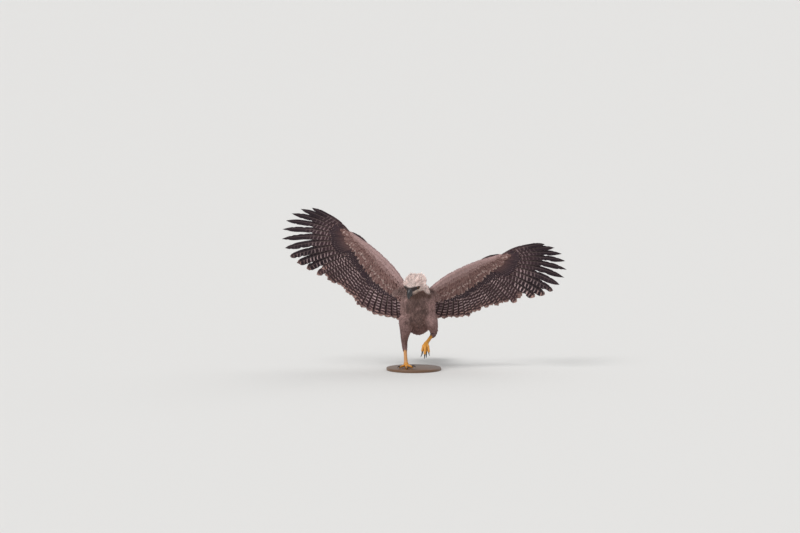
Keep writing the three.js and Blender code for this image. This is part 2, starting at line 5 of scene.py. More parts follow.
import bpy
import numpy as np
from bpy.props import FloatProperty, FloatVectorProperty, IntProperty, PointerProperty
from mathutils import Matrix, Vector, kdtree


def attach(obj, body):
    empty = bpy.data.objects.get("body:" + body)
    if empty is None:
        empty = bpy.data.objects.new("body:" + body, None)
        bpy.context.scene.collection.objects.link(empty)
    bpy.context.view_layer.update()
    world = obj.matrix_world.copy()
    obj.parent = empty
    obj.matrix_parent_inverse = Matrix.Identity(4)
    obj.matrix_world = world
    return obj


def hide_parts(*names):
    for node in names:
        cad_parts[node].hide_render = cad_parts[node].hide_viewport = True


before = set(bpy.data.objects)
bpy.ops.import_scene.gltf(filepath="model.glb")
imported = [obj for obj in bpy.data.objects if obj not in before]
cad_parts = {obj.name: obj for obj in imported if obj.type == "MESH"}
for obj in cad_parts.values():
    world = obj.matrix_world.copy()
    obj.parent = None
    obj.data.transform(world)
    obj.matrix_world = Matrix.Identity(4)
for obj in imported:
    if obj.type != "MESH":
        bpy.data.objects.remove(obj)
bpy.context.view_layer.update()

bl_info = {
    "name": "Harpy Eagle",
    "version": (1, 0, 0),
    "blender": (4, 5, 0),
    "location": "View3D > Sidebar > Eagle",
    "description": "A young harpy eagle with raised wings, feather by feather, on a round base",
    "category": "Add Mesh",
}

# Shapes. Rows and places are written in millimetres, and MM turns them into metres.
MM = 0.001
# Where the bird's own origin, the top of its base below the body, lies in the part's frame.
BIRD = MM * np.array([20.0, 5.0, 16.0])

# Rows along a body part: x, y, z, half width and half depth.
TORSO = MM * np.array([
    [4, -116, 500, 30, 32],
    [4, -106, 494, 58, 60],
    [5, -88, 478, 84, 84],
    [5, -52, 443, 104, 106],
    [6, -8, 402, 113, 120],
    [6, 36, 352, 115, 125],
    [7, 76, 306, 107, 116],
    [8, 108, 266, 86, 92],
    [8, 134, 246, 60, 60],
    [8, 152, 240, 34, 34],
    [8, 158, 238, 14, 14],
])
NECK = MM * np.array([
    [4, -50, 448, 60, 60],
    [2, -84, 474, 82, 82],
    [-3, -112, 496, 74, 74],
    [-8, -136, 512, 64, 66],
    [-12, -156, 522, 46, 50],
    [-13, -164, 526, 20, 22],
])
BODY_ROLL = math.radians(6)
# The least half size of a ring of skin inside its coat.
THINNEST = 2.5 * MM
TAIL_ROOT = MM * np.array([
    [8, 140, 252, 20, 18],
    [8, 160, 254, 44, 30],
    [8, 185, 251, 46, 25],
    [8, 212, 248, 40, 15],
    [8, 232, 246, 30, 6],
])
THIGH = {
    "right": MM * np.array([
        [-48, 8, 338, 40, 52],
        [-58, 6, 302, 58, 84],
        [-66, 4, 258, 50, 74],
        [-74, 12, 212, 35, 50],
        [-78, 30, 168, 25, 33],
        [-77, 38, 138, 21, 27],
        [-75, 30, 112, 17, 21],
        [-73, 21, 98, 14.5, 16],
    ]),
    "left": MM * np.array([
        [40, 14, 352, 36, 46],
        [64, -14, 330, 56, 76],
        [84, -24, 298, 50, 66],
        [96, -4, 262, 38, 46],
        [103, 24, 230, 29, 32],
        [103, 30, 210, 23, 24],
        [97, 14, 199, 18, 19],
        [92, 1, 192, 15, 15],
    ]),
}

# The head's own frame: forward, to the bird's left, and up, from the middle of the skull.
HEAD_PLACE = MM * np.array([-17.0, -162.0, 526.0])
HEAD_TURN = math.radians(30)
HEAD_NOD = math.radians(33)
HEAD_LEFT = np.array([math.cos(HEAD_TURN), -math.sin(HEAD_TURN), 0.0])
HEAD_FORWARD = np.array([
    -math.sin(HEAD_TURN) * math.cos(HEAD_NOD),
    -math.cos(HEAD_TURN) * math.cos(HEAD_NOD),
    -math.sin(HEAD_NOD),
])
HEAD_UP = np.cross(HEAD_FORWARD, HEAD_LEFT)
HEAD_AXES = np.array([HEAD_FORWARD, HEAD_LEFT, HEAD_UP])
SKULL = MM * np.array([
    [-78, 0, 0, 14, 14],
    [-70, 0, 0, 40, 38],
    [-45, 0, 0, 70, 57],
    [-10, 0, 0, 77, 61],
    [20, 0, 0, 62, 54],
    [42, 0, -4, 43, 41],
    [56, 0, -6, 29, 29],
    [63, 0, -7, 22, 22],
])

# The wing's own frame: out from shoulder to wrist, back to the trailing edge, and up to its upper side.
WRIST = 354 * MM
CHORD = 300 * MM
TIP_TILT = math.radians(10)
TILT_FROM, TILT_TO = 80 * MM, 620 * MM
CAMBER = 10 * MM
ARM_BOW, TIP_BOW = 10 * MM, 50 * MM
SHINGLE = 0.16
SHOULDER = {
    "left": {"place": (93, -45, 490), "raise": 30.5, "swing": -3, "tilt": 38, "spread": 1.04},
    "right": {"place": (-80, -45, 508), "raise": 49, "swing": 4.5, "tilt": 30, "spread": 1.2},
}
# Rows along the arm and hand: out, front edge, rear edge and thickness.
WING_CORE = MM * np.array([
    [-48, 18, 60, 30],
    [-20, -6, 74, 52],
    [20, -18, 84, 54],
    [80, -27, 98, 46],
    [140, -29, 114, 38],
    [200, -27, 106, 33],
    [270, -21, 84, 29],
    [330, -13, 64, 26],
    [354, -9, 56, 24.5],
    [385, 0, 56, 23],
    [420, 10, 56, 21],
    [452, 20, 53, 18],
    [476, 32, 46, 12],
])
# The flesh of a wing rises between the first two places out, and runs out between the others.
FLESH_RISES, FLESH_ENDS = (-30 * MM, 20 * MM), (440 * MM, 500 * MM)
# Past its ends the flesh counts as further away by one size for each of these steps.
PAST_FLESH = 40 * MM


def blend(a, b, share):
    """A value between two others, of numbers, arrays or numbers in a look."""
    return a + (b - a) * share


def smooth(value, low, high):
    """0 up to low, 1 from high, and a smooth step between them."""
    t = np.clip((value - low) / (high - low), 0, 1)
    return t * t * (3 - 2 * t)


def unit(vectors):
    return vectors / np.maximum(np.linalg.norm(vectors, axis=-1, keepdims=True), 1e-9)


def across_of(side, ahead):
    """The part of a sideways vector that is square to the way ahead."""
    return unit(side - ahead * np.sum(side * ahead, axis=-1, keepdims=True))


def along(rows, share):
    """The values of rows at shares of the way along them, on a smooth curve."""
    place = np.clip(share, 0, 1) * (len(rows) - 1)
    i = np.minimum(np.floor(place).astype(int), len(rows) - 2)
    t = (place - i)[..., None]
    p, q, r, s = (rows[np.clip(i + step, 0, len(rows) - 1)] for step in (-1, 0, 1, 2))
    curve = 2 * q + (r - p) * t
    curve = curve + (2 * p - 5 * q + 4 * r - s) * t**2
    return (curve + (3 * q - p - 3 * r + s) * t**3) / 2


def head_point(places):
    """Places forward, left and up of the skull's middle, in the part's frame."""
    return np.asarray(places) @ HEAD_AXES + HEAD_PLACE + BIRD


def in_head(points):
    """How far forward, left and up of the skull's middle points lie."""
    return (points - HEAD_PLACE - BIRD) @ HEAD_AXES.T


class Limb:
    """A rounded part of the body: its middle line, its half sizes and the lie of its feathers."""

    samples = 48

    def __init__(self, rows, side, coat=(0, 0), place=lambda p: p + BIRD, backwards=False):
        self.share = np.linspace(0, 1, self.samples)
        row = along(rows, self.share)
        self.centre = place(row[:, :3])
        self.wide, self.deep = row[:, 3], row[:, 4]
        self.ahead = unit(np.gradient(self.centre, axis=0))
        self.across = across_of(np.asarray(side), self.ahead)
        self.up = np.cross(self.ahead, self.across)
        self.lie = -self.ahead if backwards else self.ahead
        self.coat = np.interp(self.share, np.linspace(0, 1, len(coat)), MM * np.array(coat))

    def rings(self, count, thinnest=THINNEST):
        """Centres, axes and half sizes of rings round the limb, inside its coat."""
        for i in np.linspace(0, self.samples - 1, count).astype(int):
            wide, deep = (max(half[i] - self.coat[i], thinnest) for half in (self.wide, self.deep))
            yield self.centre[i], self.across[i], self.up[i], wide, deep

    def measure(self, points):
        """How far out points lie in sizes of the limb, their place along and round it, and its lie."""
        best = np.full(len(points), np.inf)
        nearest = np.zeros(len(points), int)
        for i in range(self.samples):
            offset = points - self.centre[i]
            square = (offset @ self.across[i] / self.wide[i]) ** 2
            square += (offset @ self.up[i] / self.deep[i]) ** 2
            square += (offset @ self.ahead[i] / (0.5 * (self.wide[i] + self.deep[i]))) ** 2
            closer = square < best
            best[closer], nearest[closer] = square[closer], i
        offset = points - self.centre[nearest]
        height = np.sum(offset * self.up[nearest], axis=1)
        width = np.sum(offset * self.across[nearest], axis=1)
        steps = np.linalg.norm(np.gradient(self.centre, axis=0), axis=1)[nearest]
        beyond = np.clip(np.sum(offset * self.ahead[nearest], axis=1) / steps, -0.5, 0.5)
        share = self.share[nearest] + beyond / (self.samples - 1)
        return np.sqrt(best), share, np.arctan2(height, width) / (2 * np.pi) + 0.5, self.lie[nearest]


class Wing:
    """One wing's own frame, turned into places in the part's frame."""

    def __init__(self, side):
        shoulder = SHOULDER[side]
        self.sign = 1 if side == "left" else -1
        self.place = MM * np.array(shoulder["place"]) + BIRD
        raised = math.radians(shoulder["raise"])
        self.cos, self.sin = math.cos(raised), math.sin(raised)
        self.tilt = math.radians(shoulder["tilt"])
        self.swing, self.spread = shoulder["swing"], shoulder["spread"]
        self.chart = "arm_" + side

    def depth(self, out, back):
        twist = smooth(out, TILT_FROM, TILT_TO)
        tilt = blend(math.tan(self.tilt), math.tan(TIP_TILT), twist)
        share = np.clip(back / CHORD, 0, 1)
        bow = ARM_BOW * np.sin(np.pi * np.clip(out / WRIST, 0, 1)) - TIP_BOW * twist**2
        return back * tilt + CAMBER * (1 - 0.7 * twist) * 4 * share * (1 - share) + bow

    def point(self, out, back, up):
        x = self.sign * (out * self.cos + back * self.sin)
        z = out * self.sin - back * self.cos
        return np.stack([x, self.depth(out, back) + up, z], axis=-1) + self.place

    def local(self, points):
        """Out, back and up of points."""
        offset = points - self.place
        out = self.sign * offset[..., 0] * self.cos + offset[..., 2] * self.sin
        back = self.sign * offset[..., 0] * self.sin - offset[..., 2] * self.cos
        return out, back, offset[..., 1] - self.depth(out, back)

    def edges(self, out):
        """Front edge, rear edge and thickness of the fleshy part."""
        return (np.interp(out, WING_CORE[:, 0], WING_CORE[:, column]) for column in (1, 2, 3))

    def bulk(self, out, back):
        """How far the fleshy part stands out from the wing's surface."""
        front, rear, thick = self.edges(out)
        share = (back - front) / (rear - front)
        rise = np.clip(1 - (1 - 2 * np.clip(share, 0, 0.5)) ** 2, 0, 1) ** 0.25
        fall = 1 - smooth(share, 0.5, 1.45)
        ends = smooth(out, *FLESH_RISES) * (1 - smooth(out, *FLESH_ENDS))
        return rise * fall * ends * (1 - 0.45 * np.clip(share, 0, 1)) * thick / 2

    def rings(self, coat, count=22):
        """Centres, axes and half sizes of rings round the fleshy part, inside its coat."""
        for out in np.linspace(WING_CORE[0, 0], WING_CORE[-1, 0], count):
            front, rear, thick = self.edges(out)
            ends = self.point(np.array([out, out]), np.array([front, rear]), np.zeros(2))
            chord = ends[1] - ends[0]
            ahead = self.point(out + MM, 0.0, 0.0) - self.point(out, 0.0, 0.0)
            across = unit(chord)
            up = unit(np.cross(ahead, across))
            wide = np.linalg.norm(chord) / 2 - 0.4 * coat
            yield ends.mean(axis=0), across, up, wide, max(0.33 * thick - coat, THINNEST)


# Places on the unwrap of the skin: left, bottom, width and height.
CHARTS = {
    "torso": (0.01, 0.01, 0.42, 0.48),
    "neck": (0.45, 0.01, 0.18, 0.48),
    "head": (0.65, 0.01, 0.34, 0.48),
    "thigh_left": (0.01, 0.51, 0.22, 0.23),
    "thigh_right": (0.01, 0.76, 0.22, 0.23),
    "tail": (0.25, 0.51, 0.15, 0.23),
    "arm_left": (0.42, 0.51, 0.57, 0.23),
    "arm_right": (0.42, 0.76, 0.57, 0.23),
}
# Half the width and the length of the patch of a small feather on its chart.
PATCH = (0.0015, 0.003)
# The part of a wing's chord on its chart: how far before the front edge it begins, and its width.
CHART_BEFORE, CHART_WIDTH = 35 * MM, 160 * MM


def on_chart(chart, x, y):
    left, bottom, width, height = CHARTS[chart]
    return np.stack([left + width * x, bottom + height * y], axis=-1)


def wing_chart(wing, out, back, up):
    """Places on a wing's chart: lower side in one half, upper side in the other, front edges together."""
    x = np.clip((out - WING_CORE[0, 0]) / (WING_CORE[-1, 0] - WING_CORE[0, 0]), 0, 1)
    share = np.clip((back + CHART_BEFORE) / CHART_WIDTH, 0, 1)
    return on_chart(wing.chart, x, 0.5 + 0.48 * np.where(up > 0, share, -share))


def patches(roots, across, share):
    """Small patches of a chart, one at the root of each feather."""
    return roots + np.stack(np.broadcast_arrays(PATCH[0] * across, PATCH[1] * share), axis=-1)


BODY_SIDE = (math.cos(BODY_ROLL), 0, -math.sin(BODY_ROLL))
THIGH_COAT = (8, 8, 5, 3, 2)
LIMBS = {
    "torso": Limb(TORSO, BODY_SIDE, (10, 10, 8)),
    "neck": Limb(NECK, BODY_SIDE, (10, 12, 14), backwards=True),
    "head": Limb(SKULL, HEAD_LEFT, (12, 15, 15, 10, 3, 1.5), head_point, backwards=True),
    "thigh_left": Limb(THIGH["left"], (1, 0, 0), THIGH_COAT),
    "thigh_right": Limb(THIGH["right"], (1, 0, 0), THIGH_COAT),
    "tail": Limb(TAIL_ROOT, (1, 0, 0), (5, 3)),
}
WINGS = {side: Wing(side) for side in ("left", "right")}
PARTS = [*LIMBS, *(wing.chart for wing in WINGS.values())]
HEAD = PARTS.index("head")
THIGHS = [PARTS.index("thigh_left"), PARTS.index("thigh_right")]


# Making meshes

def named(name):
    """Names the active object and its mesh."""
    made = bpy.context.object
    made.name = name
    made.data.name = name
    return made


def ringed(name, rings, sides):
    """A closed surface through rings, each with its centre, two axes and two half sizes."""
    bpy.ops.object.select_all(action="DESELECT")
    bpy.ops.object.add(type="MESH", location=(0, 0, 0))
    bpy.ops.object.mode_set(mode="EDIT")
    for centre, across, deep, wide, thick in rings:
        x, y = Vector(across).normalized(), Vector(deep).normalized()
        turn = Matrix((x, y, x.cross(y))).transposed()
        euler = turn.to_euler()
        bpy.ops.mesh.primitive_circle_add(vertices=sides, radius=1, location=centre, rotation=euler)
        bpy.ops.transform.resize(
            value=(wide, thick, 1),
            orient_type="LOCAL",
            orient_matrix=turn,
            orient_matrix_type="LOCAL",
            center_override=centre,
        )
    bpy.ops.mesh.select_all(action="SELECT")
    bpy.ops.mesh.bridge_edge_loops()
    bpy.ops.mesh.select_all(action="SELECT")
    bpy.ops.mesh.fill_holes(sides=0)
    bpy.ops.mesh.select_all(action="SELECT")
    bpy.ops.mesh.normals_make_consistent(inside=False)
    bpy.ops.object.mode_set(mode="OBJECT")
    return named(name)


def alone(piece):
    """Makes a piece the only one selected, and the active one."""
    bpy.ops.object.select_all(action="DESELECT")
    piece.select_set(True)
    bpy.context.view_layer.objects.active = piece
    return piece


def joined(pieces, name):
    alone(pieces[0])
    for piece in pieces:
        piece.select_set(True)
    bpy.ops.object.join()
    return named(name)


def modify(piece, kind, **settings):
    """Adds a modifier to a piece and applies it."""
    alone(piece)
    modifier = piece.modifiers.new(kind.lower(), kind)
    for key, value in settings.items():
        setattr(modifier, key, value)
    bpy.ops.object.modifier_apply(modifier=modifier.name)
    return piece


def finish_piece(piece, look, slot, replaced=(), smooth_to=None):
    """Gives a finished piece its shading, material and body."""
    alone(piece)
    if smooth_to is None:
        bpy.ops.object.shade_smooth()
    else:
        bpy.ops.object.shade_smooth_by_angle(angle=math.radians(smooth_to))
    piece.data.materials.clear()
    piece.data.materials.append(look)
    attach(piece, "root")
    if replaced:
        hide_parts(*replaced)
    return piece


def read(items, key, width=1, kind=np.float32):
    """A number or vector of each item of a mesh, as an array."""
    values = np.empty(len(items) * width, kind)
    items.foreach_get(key, values)
    if kind is np.float32:
        values = values.astype(float)
    return values.reshape(-1, width) if width > 1 else values


def carry(mesh, values):
    """Gives each point of a mesh the numbers that its look reads."""
    for key, numbers in values.items():
        attribute = mesh.attributes.new(key, "FLOAT", "POINT")
        attribute.data.foreach_set("value", np.ascontiguousarray(numbers, np.float32).ravel())


def lay_out(mesh, places):
    """Gives each corner of a mesh its place on the map for baking."""
    layer = mesh.uv_layers.new(name="OFBake")
    layer.data.foreach_set("uv", np.ascontiguousarray(places, np.float32).ravel())


def feather_mesh(name, faces, points, values, places, flipped=False):
    """Like feathers as one mesh object: the faces of one, and arrays by feather, station and corner."""
    count, stations, ring, _ = points.shape
    first = stations * ring * np.arange(count)[:, None, None]
    faces = (faces[None] + first).reshape(-1, 3)
    if flipped:
        faces = faces[:, ::-1]
    mesh = bpy.data.meshes.new(name)
    mesh.vertices.add(count * stations * ring)
    mesh.vertices.foreach_set("co", np.ascontiguousarray(points, np.float32).ravel())
    mesh.loops.add(faces.size)
    mesh.loops.foreach_set("vertex_index", np.ascontiguousarray(faces, np.int32).ravel())
    mesh.polygons.add(len(faces))
    mesh.polygons.foreach_set("loop_start", np.arange(0, faces.size, 3, dtype=np.int32))
    mesh.update(calc_edges=True)
    whole = np.ones(points.shape[:3])
    carry(mesh, {key: value * whole for key, value in values.items()})
    lay_out(mesh, places.reshape(-1, 2)[faces.ravel()])
    mesh.validate()
    piece = bpy.data.objects.new(name, mesh)
    bpy.context.scene.collection.objects.link(piece)
    return piece


# Feathers

def tube_faces(stations, ring):
    """Triangles of a closed tube of stations, each a ring of points, with flat caps."""
    faces = []
    for i in range(stations - 1):
        for k in range(ring):
            a, b = i * ring + k, i * ring + (k + 1) % ring
            faces += [(a, b, b + ring), (a, b + ring, a + ring)]
    middle = ring // 2
    caps = [(0, 1, ring - 1), (middle - 1, middle, middle + 1)]
    for k in range(1, middle - 1):
        caps += [(k, k + 1, ring - k - 1), (k, ring - k - 1, ring - k)]
    last = (stations - 1) * ring
    for a, b, c in caps:
        faces += [(c, b, a), (last + a, last + b, last + c)]
    return np.array(faces)


def ring_columns(columns):
    """The columns of a closed ring, over the top and back underneath, and the side of each."""
    top = np.arange(columns)
    sides = np.concatenate([np.ones(columns), -np.ones(columns - 2)])
    return np.concatenate([top, top[-2:0:-1]]), sides


# What a feather is where nothing else is said.
PLAIN_FEATHER = {
    "bend": 6, "lift": 0, "lift_end": 0, "shingle": 1, "hug": 0, "point": 0,
    "kind": 0, "order": 0, "upper": 0,
}


class Vanes:
    """A group of large feathers of one kind, each a thin closed solid with a raised shaft."""

    def __init__(self, stations, columns, seed, ragged=1.2 * MM, crowding=1.0):
        self.shares = np.linspace(0, 1, stations) ** crowding
        self.random = np.random.default_rng(seed)
        self.ragged = ragged
        self.column, self.side = ring_columns(columns)
        self.columns = np.linspace(-1, 1, columns)
        self.across = self.columns[self.column]
        self.faces = tube_faces(stations, len(self.column))
        self.feathers = []

    def add(self, **feather):
        self.feathers.append({**PLAIN_FEATHER, **feather})

    def numbers(self, key):
        return np.array([feather[key] for feather in self.feathers], float)[:, None, None]

    def shape(self, profile, fray):
        """Places of all the points along the feathers, and across them as shares of the width."""
        count = len(self.feathers)
        ragged = self.random.uniform(-1, 0, (count, 1, len(self.columns)))[:, :, self.column]
        ragged = ragged * self.ragged / self.numbers("length")
        share = self.shares[None, :, None] + ragged * smooth(self.shares, 0.8, 1)[None, :, None]
        reach = self.across[None, None, :] * profile(self.shares)[None, :, None]
        reach = np.broadcast_to(reach, share.shape).copy()
        # The barbs part here and there, so the edges are nicked.
        for edge in (0, len(self.columns) - 1):
            nicks = self.random.random((count, len(self.shares)))
            cut = np.where(nicks > 1 - fray, self.random.uniform(0.72, 0.9, nicks.shape), 1)
            cut *= self.random.uniform(0.97, 1.0, nicks.shape)
            reach[:, :, edge] *= cut
        return share, reach

    def strips(self, share):
        """A map with a strip of its own for each face of each feather."""
        count = len(self.feathers)
        across = int(np.ceil(np.sqrt(2 * count / 0.35)))
        rows = int(np.ceil(2 * count / across))
        upper = (self.side > 0)[None, None, :] * np.ones_like(share)
        number = 2 * np.arange(count)[:, None, None] + upper
        column, row = number % across, number // across
        x = (column + 0.5 + 0.44 * self.across) / across
        y = (row + 0.03 + 0.94 * share) / rows
        return np.stack([x, y], axis=-1)

    def piece(self, name, points, share, upper, order, roots=None, flipped=False):
        """The feathers as one mesh object, mapped on strips of their own, or at their roots."""
        values = {
            "along": share,
            "across": self.across,
            "to_tip": self.numbers("length") * (1 - share),
            "upper": self.side if roots is None else upper,
            "kind": self.numbers("kind"),
            "order": order,
            "seed": self.random.random((len(self.feathers), 1, 1)),
        }
        places = self.strips(share) if roots is None else patches(roots, self.across, share)
        return feather_mesh(name, self.faces, points, values, places, flipped)


def round_tip(base, shoulder, tip_from):
    """The width along a feather: narrow at its quill, full at the shoulder and round at its end."""
    def width(share):
        full = blend(base, 1, smooth(share, -0.05, shoulder))
        rounded = np.sqrt(np.clip(1 - ((share - tip_from) / (1 - tip_from)).clip(0) ** 2, 0.012, 1))
        return full * rounded
    return width


LONG = round_tip(0.22, 0.42, 0.93)
SHORT = round_tip(0.3, 0.45, 0.72)
ROUND = round_tip(0.2, 0.42, 0.6)


def vane_thickness(half, width, share, reach, shaft_width, shaft_height):
    """Half the thickness of a feather, which thins to its edges and tip round a raised shaft."""
    middle = np.exp(-((half / (width * shaft_width)) ** 2))
    vane = 0.3 * MM * (1 - 0.5 * share) * (1 - np.abs(reach) * 0.6)
    return vane + shaft_height * MM * middle * (1 - 0.8 * share)


def wing_vanes(name, wing, vanes, profile, small=False):
    """Feathers that lie in a wing's surface, from their places out and back in the wing's frame."""
    share, reach = vanes.shape(profile, 0.1 if small else 0.12)
    n = vanes.numbers
    turn = np.radians(n("angle") + n("bend") * (share - 1))
    narrow = blend(1, n("finger") / n("width"), smooth(share, 0.47, 0.72))
    half = n("width") * narrow * reach * (1 - 0.82 * n("point") * smooth(share, 0.8, 1.03))
    half = half * np.where(half > 0, 0.8, 1.2)
    out = n("out") + n("length") * share * np.cos(turn) + half * np.sin(turn)
    back = n("back") + n("length") * share * np.sin(turn) - half * np.cos(turn)
    level = blend(n("lift"), n("lift_end"), share) + SHINGLE * half * n("shingle")
    hug = n("hug")
    level = np.where(hug == 0, level, hug * (wing.bulk(out, back) + level))
    thick = vane_thickness(half, n("width"), share, reach, 0.09, 0.5 if small else 1.0)
    points = wing.point(out, back, level + vanes.side * thick)
    roots = wing_chart(wing, n("out"), n("back"), hug) if small else None
    return vanes.piece(name, points, share, np.sign(hug), n("order"), roots, wing.sign < 0)


def flight_row(count, first, last, angle, fan, swing, kind, sized):
    """A row of flight feathers as in the solids: roots, angles, and a length and width for each."""
    for i in range(count):
        share = i / (count - 1)
        length, width, finger, point = sized(share)
        # A more curved feather keeps the place of its end.
        yield {
            "out": blend(first[0], last[0], share) * MM,
            "back": blend(first[1], last[1], share) * MM,
            "angle": angle + fan * share + swing * (1 - share) + 1.8 * point,
            "bend": 6 + 8 * point,
            "kind": kind,
            "order": share,
            "length": length * MM,
            "width": width * MM,
            "finger": finger * MM,
            "point": point,
        }


PRIMARY, SECONDARY, TERTIAL = 0, 1, 2
PRIMARIES = 10
# Counted from the wrist, the longest primary lies here.
LONGEST_PRIMARY = 5.4


def flight_feathers(wing):
    """The primaries, secondaries and tertials of a wing."""
    def primary(share):
        number = 1 + round((PRIMARIES - 1) * share)
        shorten = 5.1 if number < LONGEST_PRIMARY else 7.7
        finger = blend(25, 17, smooth(number, 2, 6))
        length = 468 - shorten * (number - LONGEST_PRIMARY) ** 2
        return length, 25 - 0.5 * (number - 1), finger, smooth(number, 1, 5)

    def secondary(share):
        width = 19 + 4 * (1 - share)
        return (190 + 139 * (1 - share) ** 2) * blend(1, wing.spread, share), width, width, 0.15

    def tertial(share):
        return (190 - 12 * share) * wing.spread, 23, 23, 0

    def carpal(_):
        return 300, 22, 22, 0.1

    # Two more feathers close the gap at the wrist.
    yield from flight_row(2, (348, 40), (356, 39), 71, -1, wing.swing, SECONDARY, carpal)
    yield from flight_row(PRIMARIES, (364, 38), (456, 31), 67, -54, wing.swing, PRIMARY, primary)
    yield from flight_row(12, (338, 42), (165, 100), 73, 37, wing.swing, SECONDARY, secondary)
    yield from flight_row(7, (148, 96), (18, 50), 114, 31, 0, TERTIAL, tertial)


ARM_COVERT, HAND_COVERT = 3, 4
# Rows of coverts towards the front edge: root as a share of the chord, length, width, step and lift.
COVERT_ROWS = [
    (0.7, 64, 10.5, 8, 7.5),
    (0.5, 54, 9, 7, 5.6),
    (0.33, 44, 7.5, 6, 4.2),
    (0.19, 36, 6.5, 5, 3.3),
    (0.08, 29, 6, 4.2, 2.6),
    (-0.03, 23, 5.5, 3, 1.9),
]
COVERTS_END = 478 * MM
# Greater coverts that root beyond this place belong to the hand.
HAND_FROM = 352 * MM
# Stations, columns, raggedness of the end and profile of the feathers of each tier.
COVERT_SHAPES = {"greater": (12, 7, 3 * MM, SHORT), "lesser": (7, 4, 1.2 * MM, ROUND)}
THUMB_FEATHERS = 4


def covert_rows(wing, flights, face):
    """The tiers of coverts on one face of a wing: greater, then median and lesser."""
    ordered = sorted(flights, key=lambda f: f["out"])
    outs = [f["out"] for f in ordered]
    random = np.random.default_rng(11 if face > 0 else 12)
    common = {"bend": 5, "shingle": 0.5, "kind": ARM_COVERT, "point": 0.2, "hug": face}
    greater = []
    for i in range(len(ordered) * 2 - 1):
        a, b = ordered[i // 2], ordered[(i + 1) // 2]
        mixed = {key: (a[key] + b[key]) / 2 for key in ("out", "back", "length")}
        mixed["angle"] = (a["angle"] - 4 * a["point"] + b["angle"] - 4 * b["point"]) / 2
        share = 0.34 + 0.06 * random.random()
        mixed.update(common, width=12.5 * MM, finger=12.5 * MM, lift=0.5 * MM, lift_end=4.8 * MM)
        if mixed["out"] > HAND_FROM:
            mixed["kind"] = HAND_COVERT
        mixed["length"] *= share
        greater.append(mixed)
    yield "greater", greater
    lesser = []
    for number, (share, length, width, step, lift) in enumerate(COVERT_ROWS):
        out = -6 * MM
        while out < COVERTS_END:
            front, rear, _ = wing.edges(out)
            feather = dict(common)
            feather.update(
                out=out + random.uniform(-1.5, 1.5) * MM,
                back=blend(front, rear, share + random.uniform(-0.03, 0.03)),
                angle=np.interp(out, outs, [f["angle"] for f in ordered]) + random.uniform(-6, 6),
                length=length * MM * random.uniform(0.88, 1.12),
                width=width * MM,
                finger=width * MM,
                order=(number + 1) / len(COVERT_ROWS),
                lift=blend(0.2, -1.8, float(smooth(share, -0.03, 0.25))) * MM,
                lift_end=lift * MM,
            )
            lesser.append(feather)
            out += step * MM
    yield "lesser", lesser


# The tail: six pairs of feathers on a short fleshy root, with coverts above and below.
TAIL_PLACE = MM * np.array([8, 150, 256]) + BIRD
TAIL_PITCH = math.radians(-5)
TAIL_BACK = np.array([0, math.cos(TAIL_PITCH), math.sin(TAIL_PITCH)])
TAIL_UP = np.array([0, -math.sin(TAIL_PITCH), math.cos(TAIL_PITCH)])
# Between neighbours: the angle in degrees, and the gap between their roots.
TAIL_FAN, TAIL_GAP = 3.1, 5 * MM
TAIL_FEATHERS = 12
# Rows of tail coverts: length and count.
TAIL_COVERTS = [(145, 12), (115, 12), (85, 12), (58, 10)]
TAIL = 4


def tail_vanes(name, vanes, profile, small=False):
    """Feathers that fan out from the root of the tail, by their places from its middle."""
    share, reach = vanes.shape(profile, 0.1)
    n = vanes.numbers
    place = n("place")
    yaw = np.radians(place * TAIL_FAN)
    x = np.array([1.0, 0, 0])
    way = np.cos(yaw)[..., None] * TAIL_BACK + np.sin(yaw)[..., None] * x
    across = np.cos(yaw)[..., None] * x - np.sin(yaw)[..., None] * TAIL_BACK
    half = n("width") * reach
    sag = n("lift") - np.abs(place) * 0.7 * MM - 10 * MM * (share * n("length") / 0.345) ** 2
    thick = vane_thickness(half, n("width"), share, reach, 0.07, 1.1)
    height = sag + SHINGLE * np.sign(place) * half + vanes.side * thick + n("lift_end") * share
    sideways = place * TAIL_GAP + half
    points = TAIL_PLACE + sideways[..., None] * across + (n("length") * share)[..., None] * way
    points = points + height[..., None] * TAIL_UP
    roots = on_chart("tail", 0.5 + place / 16, 0.5 + 0.2 * n("upper")) if small else None
    return vanes.piece(name, points, share, n("upper"), np.abs(place) / 6, roots)


# Body feathers

TUFT_SHARES = np.array([0, 0.2, 0.45, 0.7, 0.88, 1.0])
TUFT_WIDTHS = {
    "feather": np.array([0.3, 0.75, 1.0, 0.9, 0.6, 0.06]),
    "fluff": np.array([0.4, 0.8, 1.0, 1.0, 0.82, 0.3]),
}


